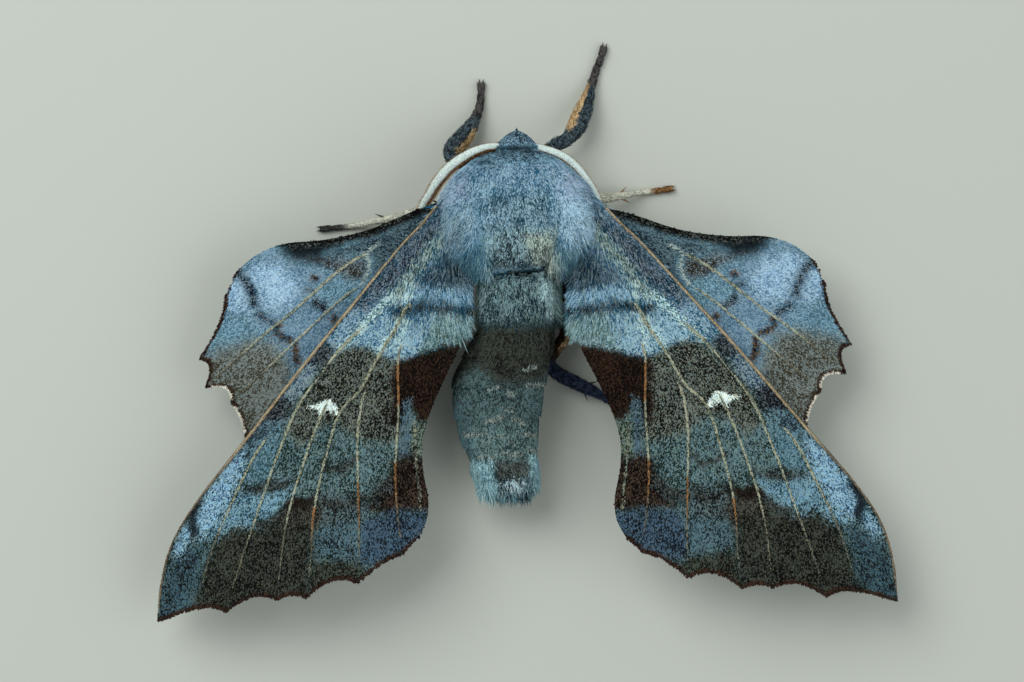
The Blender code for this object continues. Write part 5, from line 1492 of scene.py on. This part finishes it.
# %% Feelers
for side, sign in SIDES.items():
    table, length = even_table(smooth_line(mirrored(ANTENNA_PATHS[side], sign)), 3)
    points, faces, numbers = tube(table, antenna_radius, ANTENNA_RINGS * RING_STEPS + 1, 14)
    feeler = new_piece(f"feeler_{side}", points, faces, antenna_finish,
                       antenna_numbers(numbers, side), smooth=True)
    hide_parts("antenna_" + side)
    share = draw.random(FEELER_SCALES)
    turn = draw.uniform(0, 2 * np.pi, FEELER_SCALES)
    points, way, outward = around(table, share, turn, np.ones(FEELER_SCALES))
    above = antenna_numbers(limb_numbers(share, outward), side)["m_white"] > 0.0
    way = np.where(above[:, None], way, unit(way * 0.5 + outward * 0.3))
    length_of, width_of, lift_of = (np.where(above, scale, bristle)
                                    for scale, bristle in ((0.17, 0.13), (0.09, 0.03), (0.02, 0.09)))
    made, faces, spots = grow(SCALE_POINTS, SCALE_FACES, points, way, outward, length_of, width_of, lift_of,
                              np.full(FEELER_SCALES, 0.01), limb_unwrap(turn, share))
    numbers = each_point(antenna_numbers(limb_numbers(share, outward), side), SCALE_POINTS)
    new_piece(f"scales_feeler_{side}", made, faces, antenna_finish, numbers, spots)
    print(f"feeler {side}: {length:.1f} mm")

# %% [markdown]
# ## Legs
#
# Six legs carry the moth, each with furry thigh and shin and a thin foot of five joints that ends in
# two claws. The middle and hind shins bear pairs of spurs. The fore legs reach forward past the head
# and are slate with a tan inner side, the middle ones are cream, and the hind ones are nearly black.
# Every foot lies along the floor.

# %% Leg paths
LEG_PATHS = {
    "leg_fore_left": [(1.2, 2.0, 4.6, 0.7), (2.3, 3.5, 3.1, 0.7), (3.6, 3.8, 2.6, 0.6),
                      (4.7, 3.8, 2.3, 0.6), (4.8, 4.65, 2.0, 0.9), (3.95, 5.65, 1.7, 0.86),
                      (3.15, 6.8, 1.1, 0.6), (2.6, 8.1, 0.5, 0.42), (2.45, 9.2, 0.3, 0.36),
                      (2.4, 10.1, 0.3, 0.46)],
    "leg_fore_right": [(1.2, 2.0, 4.6, 0.7), (2.2, 3.6, 3.1, 0.7), (3.3, 4.75, 2.6, 0.6),
                       (4.2, 5.2, 2.3, 0.6), (4.95, 6.05, 2.0, 0.88), (5.5, 7.15, 1.6, 0.88),
                       (6.05, 8.6, 0.9, 0.58), (6.65, 10.4, 0.3, 0.4), (7.2, 11.8, 0.3, 0.36),
                       (7.5, 12.7, 0.3, 0.42)],
    "leg_mid_left": [(1.6, -0.6, 4.4, 0.75), (3.4, -0.1, 2.9, 0.75), (5.2, 0.1, 2.9, 0.6),
                     (6.9, 0.0, 2.8, 0.55), (9.1, -0.45, 2.0, 0.42), (11.0, -0.75, 1.2, 0.38),
                     (12.2, -0.95, 0.6, 0.36), (13.2, -1.05, 0.3, 0.36), (14.4, -1.15, 0.3, 0.36),
                     (15.6, -1.2, 0.3, 0.46)],
    "leg_mid_right": [(1.6, -0.6, 4.4, 0.75), (3.2, 0.1, 2.9, 0.75), (4.6, 0.4, 2.9, 0.6),
                      (5.8, 0.4, 2.8, 0.6), (7.4, 0.5, 2.0, 0.5), (8.6, 0.7, 1.2, 0.42),
                      (9.8, 0.9, 0.6, 0.36), (10.8, 1.0, 0.3, 0.38), (11.8, 1.1, 0.3, 0.42),
                      (12.6, 1.2, 0.3, 0.5)],
    "leg_hind_left": [(1.5, -3.6, 4.4, 0.75), (3.3, -5.0, 2.9, 0.7), (5.2, -6.9, 2.7, 0.6),
                      (6.6, -9.0, 2.5, 0.6), (7.2, -11.2, 2.0, 0.55), (8.2, -13.6, 1.1, 0.5),
                      (9.2, -15.2, 0.5, 0.42), (10.1, -16.4, 0.3, 0.4), (11.6, -17.8, 0.3, 0.36),
                      (12.7, -18.7, 0.3, 0.42)],
    "leg_hind_right": [(1.5, -3.6, 4.4, 0.75), (3.2, -5.2, 2.9, 0.7), (3.7, -7.6, 2.6, 0.6),
                       (3.7, -10.2, 2.3, 0.55), (2.4, -12.1, 1.9, 0.58), (2.9, -13.2, 1.6, 0.62),
                       (4.8, -14.25, 1.1, 0.62), (6.7, -15.3, 0.6, 0.46), (8.2, -16.2, 0.3, 0.4),
                       (9.7, -17.3, 0.3, 0.36), (10.8, -18.2, 0.3, 0.42)],
}
SPURS = {"mid": [0.62], "hind": [0.5, 0.66]}
SPUR_LENGTH = 1.1
FOOT_START = 0.7
FOOT_JOINTS = 5

# %% Leg finishes
SLATE = ((0.012, 0.019, 0.024), (0.075, 0.112, 0.128))
NAVY = ((0.006, 0.010, 0.022), (0.03, 0.045, 0.08))
TAN = ((0.30, 0.20, 0.095), (0.60, 0.44, 0.24))
CREAM = ((0.34, 0.37, 0.30), (0.66, 0.68, 0.57))
OCHRE = ((0.07, 0.036, 0.012), (0.27, 0.15, 0.06))
DUSK = ((0.016, 0.016, 0.018), (0.09, 0.085, 0.08))
# Painted shadow: the hind thighs are dark brown, the shade they lie in beside the abdomen.
THIGH_SHADOW_BROWN = ((0.010, 0.007, 0.004), (0.05, 0.03, 0.015))
# The dark or pale hair of each kind of leg, and the markings on it with their two colours.
LEG_LOOKS = {
    "fore": (SLATE, [("stripe", TAN), ("foot", DUSK)]),
    "mid": (CREAM, [("under", TAN), ("foot", OCHRE)]),
    "mid_left": (CREAM, [("under", TAN), ("foot", DUSK)]),
    "hind": (NAVY, [("thigh", THIGH_SHADOW_BROWN), ("stripe", TAN), ("foot", DUSK)]),
}
# From and to along the leg, and how far the stripe reaches round it.
STRIPES = {"leg_fore_left": (0.45, 0.66, 0.0), "leg_fore_right": (0.42, 0.78, 0.1),
           "leg_hind_right": (0.30, 0.42, 0.25)}
NO_STRIPE = (2.0, 2.0, 0.0)
FOOT_DARKENS = {"fore": 0.74, "mid": 0.86, "hind": 0.8}
THIGH_ENDS = 0.47
leg_finishes = {}
for kind, (base, marks) in LEG_LOOKS.items():
    layers = [layer(name, *pair, 0.5, 0.3, 0.3) for name, pair in marks]
    leg_finishes[kind] = marked_material(
        f"leg_{kind}", {"ground": base[0], "fleck": base[1], "share": 0.5}, layers, 0.65, 0.5, warmth=0.4)


def leg_numbers(numbers, name, facing):
    """Masks for one leg: stripe, thigh, underside and foot. facing is 1 on the stripe's side, -1 opposite."""
    first, last, reach = STRIPES.get(name, NO_STRIPE)
    ends = np.minimum(numbers["m_along"] - first, last - numbers["m_along"])
    numbers["m_stripe"] = np.minimum(facing - 0.4 + reach, ends * 8)
    # The thigh's mark is painted shadow, dark brown on the hind legs.
    numbers["m_thigh"] = (THIGH_ENDS - numbers["m_along"]) * 6
    numbers["m_under"] = -numbers["m_up"] - 0.15
    numbers["m_foot"] = (numbers["m_along"] - FOOT_DARKENS[name.split("_")[1]]) * 6
    return numbers

# %% Leg shapes
LEG_STOUTNESS = {"fore": 1.0, "mid": 0.78, "hind": 1.0}
SHIN_SKIN, FOOT_SKIN = 0.82, 0.74
JOINT_NICK = 0.28
THORN_STEPS, THORN_ROUND = 7, 8


def leg_radius(share):
    """A thigh and shin a little inside the solid ones, then the joints of the foot."""
    foot = np.clip((share - FOOT_START) / (1 - FOOT_START), 0, 1) * FOOT_JOINTS
    return np.where(share < FOOT_START, SHIN_SKIN, FOOT_SKIN * (1 - JOINT_NICK * (foot % 1.0) ** 3))


def thorn(base, tip, radius, bend):
    """A bent, pointed cone: points and faces."""
    t = np.linspace(0, 1, THORN_STEPS)[:, None]
    middle = base + (tip - base) * t + bend * (4 * t * (1 - t))
    row = np.hstack([middle, radius * (1 - 0.92 * t)])
    _, aside, up = limb_frame(row)
    turn = full_turn(THORN_ROUND)[None, :, None]
    outward = aside[:, None] * np.cos(turn) + up[:, None] * np.sin(turn)
    rings = row[:, None, :3] + outward * row[:, None, 3:]
    rings[..., 2] = np.maximum(rings[..., 2], FLOOR_CLEARANCE)
    return closed_loft(rings)


def leg_thorns(kind, table):
    """The spurs of the shin and the claws of the foot."""
    way, aside, up = limb_frame(table)
    made = []
    for share in SPURS.get(kind, []):
        j = int(share * STEPS)
        for sign in (-1, 1):
            tip = table[j, :3] + way[j] * SPUR_LENGTH + aside[j] * sign * (table[j, 3] + 0.3)
            made.append(thorn(table[j, :3], tip, 0.15, up[j] * 0.05))
    flat = unit(way[-1] * np.array([1, 1, 0]))
    for sign in (-1, 1):
        base = table[-1, :3] - flat * 0.1 + aside[-1] * sign * 0.12
        tip = base + flat * 0.42 + aside[-1] * sign * 0.06 + np.array([0, 0, -0.2])
        made.append(thorn(base, tip, 0.1, np.array([0, 0, 0.12])))
    return made


def hair_length(share):
    """The hair of a leg in mm: long on the thigh and short on the foot."""
    return np.interp(share, [0.0, 0.35, 0.6, 0.72, 1.0], [0.5, 0.42, 0.34, 0.24, 0.18])

# %% Legs
LEG_RINGS, LEG_ROUND = 150, 18
LEG_TUFTS = 2000
for name, stations in LEG_PATHS.items():
    _, kind, side = name.split("_")
    sign = SIDES[side]
    table, length = even_table(smooth_line(mirrored(stations, sign)), 3)
    table[:, 3] *= LEG_STOUTNESS[kind]
    points, faces, numbers = tube(table, leg_radius, LEG_RINGS, LEG_ROUND)
    for more, more_faces in leg_thorns(kind, table):
        faces = np.vstack([faces, more_faces + len(points)])
        points = np.vstack([points, more])
        extra = limb_numbers(np.full(len(more), 1.0), np.tile([0.0, 0.0, 1.0], (len(more), 1)))
        numbers = {key: np.append(value, extra[key]) for key, value in numbers.items()}
    facing = np.full(len(points), -1.0)
    facing[:LEG_RINGS * LEG_ROUND] = -sign * np.tile(np.cos(full_turn(LEG_ROUND)), LEG_RINGS)
    finish = leg_finishes.get(f"{kind}_{side}", leg_finishes[kind])
    leg = new_piece(f"skin_{name}", points, faces, finish, leg_numbers(numbers, name, facing),
                    smooth=True)
    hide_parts(name)
    count = int(LEG_TUFTS * thin)
    share, turn = draw.uniform(0.0, 0.985, count), draw.uniform(0, 2 * np.pi, count)
    roots, way, outward = around(table, share, turn, leg_radius(share))
    vary = draw.uniform(0.75, 1.3, (2, count))
    long = hair_length(share) * vary[0] * LEG_STOUTNESS[kind] ** 2
    made, faces, spots = limb_fur(roots, way, outward, turn, share, long, 0.09 * vary[1], long * 0.24)
    made[:, 2] = np.maximum(made[:, 2], 0.0)
    numbers = leg_numbers(limb_numbers(share, outward), name, -np.cos(turn) * sign)
    new_piece(f"fur_{name}", made, faces, finish, each_point(numbers, TUFT_POINTS), spots)
    print(f"{name}: {length:.1f} mm long")

# %% [markdown]
# ## Floor, light and camera
#
# The moth lies on a plain pale floor under two large soft lights, as on a museum's photography table.
# The camera looks straight down, as in the photograph, from a quarter of a metre, and its lens shows 80
# mm across.

# %% Floor
FLOOR_REACH = 0.6
corners = [(x * FLOOR_REACH, y * FLOOR_REACH, 0) for x, y in ((-1, -1), (1, -1), (1, 1), (-1, 1))]
floor_mesh = bpy.data.meshes.new("floor")
floor_mesh.from_pydata(corners, [], [(0, 1, 2, 3)])
floor = bpy.data.objects.new("floor", floor_mesh)
bpy.context.scene.collection.objects.link(floor)
floor_finish, tree, inputs = new_material("pale_board")
noise = use_group(tree, fray, Size=9.0)
board = mix_colours(tree, noise["Fine"], (0.465, 0.50, 0.44, 1), (0.50, 0.535, 0.475, 1))
tree.links.new(board, inputs["Base Color"])
inputs["Roughness"].default_value = 0.9
floor_mesh.materials.append(floor_finish)

# %% Light
def soft_light(name, place_at, size, power):
    lamp = bpy.data.lights.new(name, "AREA")
    lamp.shape = "SQUARE"
    lamp.size = size
    lamp.energy = power
    made = bpy.data.objects.new(name, lamp)
    made.location = place_at
    made.rotation_euler = (-made.location).to_track_quat("-Z", "Y").to_euler()
    bpy.context.scene.collection.objects.link(made)


soft_light("key", (-0.16, 0.17, 0.28), 0.26, 0.97)
soft_light("fill", (0.40, -0.10, 0.40), 0.5, 1.2)
world = bpy.data.worlds.new("studio")
world.use_nodes = True
sky = world.node_tree.nodes["Background"].inputs
sky["Color"].default_value = (0.93, 0.96, 1.0, 1)
sky["Strength"].default_value = 0.42
bpy.context.scene.world = world

# %% Camera
CAMERA_PLACE = (-0.542, -1.146, 256)
CAMERA_TURN = -1.67
camera_data = bpy.data.cameras.new("camera")
camera_data.sensor_width = 36.0
camera_data.lens = 112.6
camera_data.clip_start = 0.01
camera = bpy.data.objects.new("camera", camera_data)
camera.location = [part * MM for part in CAMERA_PLACE]
camera.rotation_euler = (0.0, 0.0, math.radians(CAMERA_TURN))
bpy.context.scene.collection.objects.link(camera)
bpy.context.scene.camera = camera
bpy.context.scene.view_settings.view_transform = "Standard"
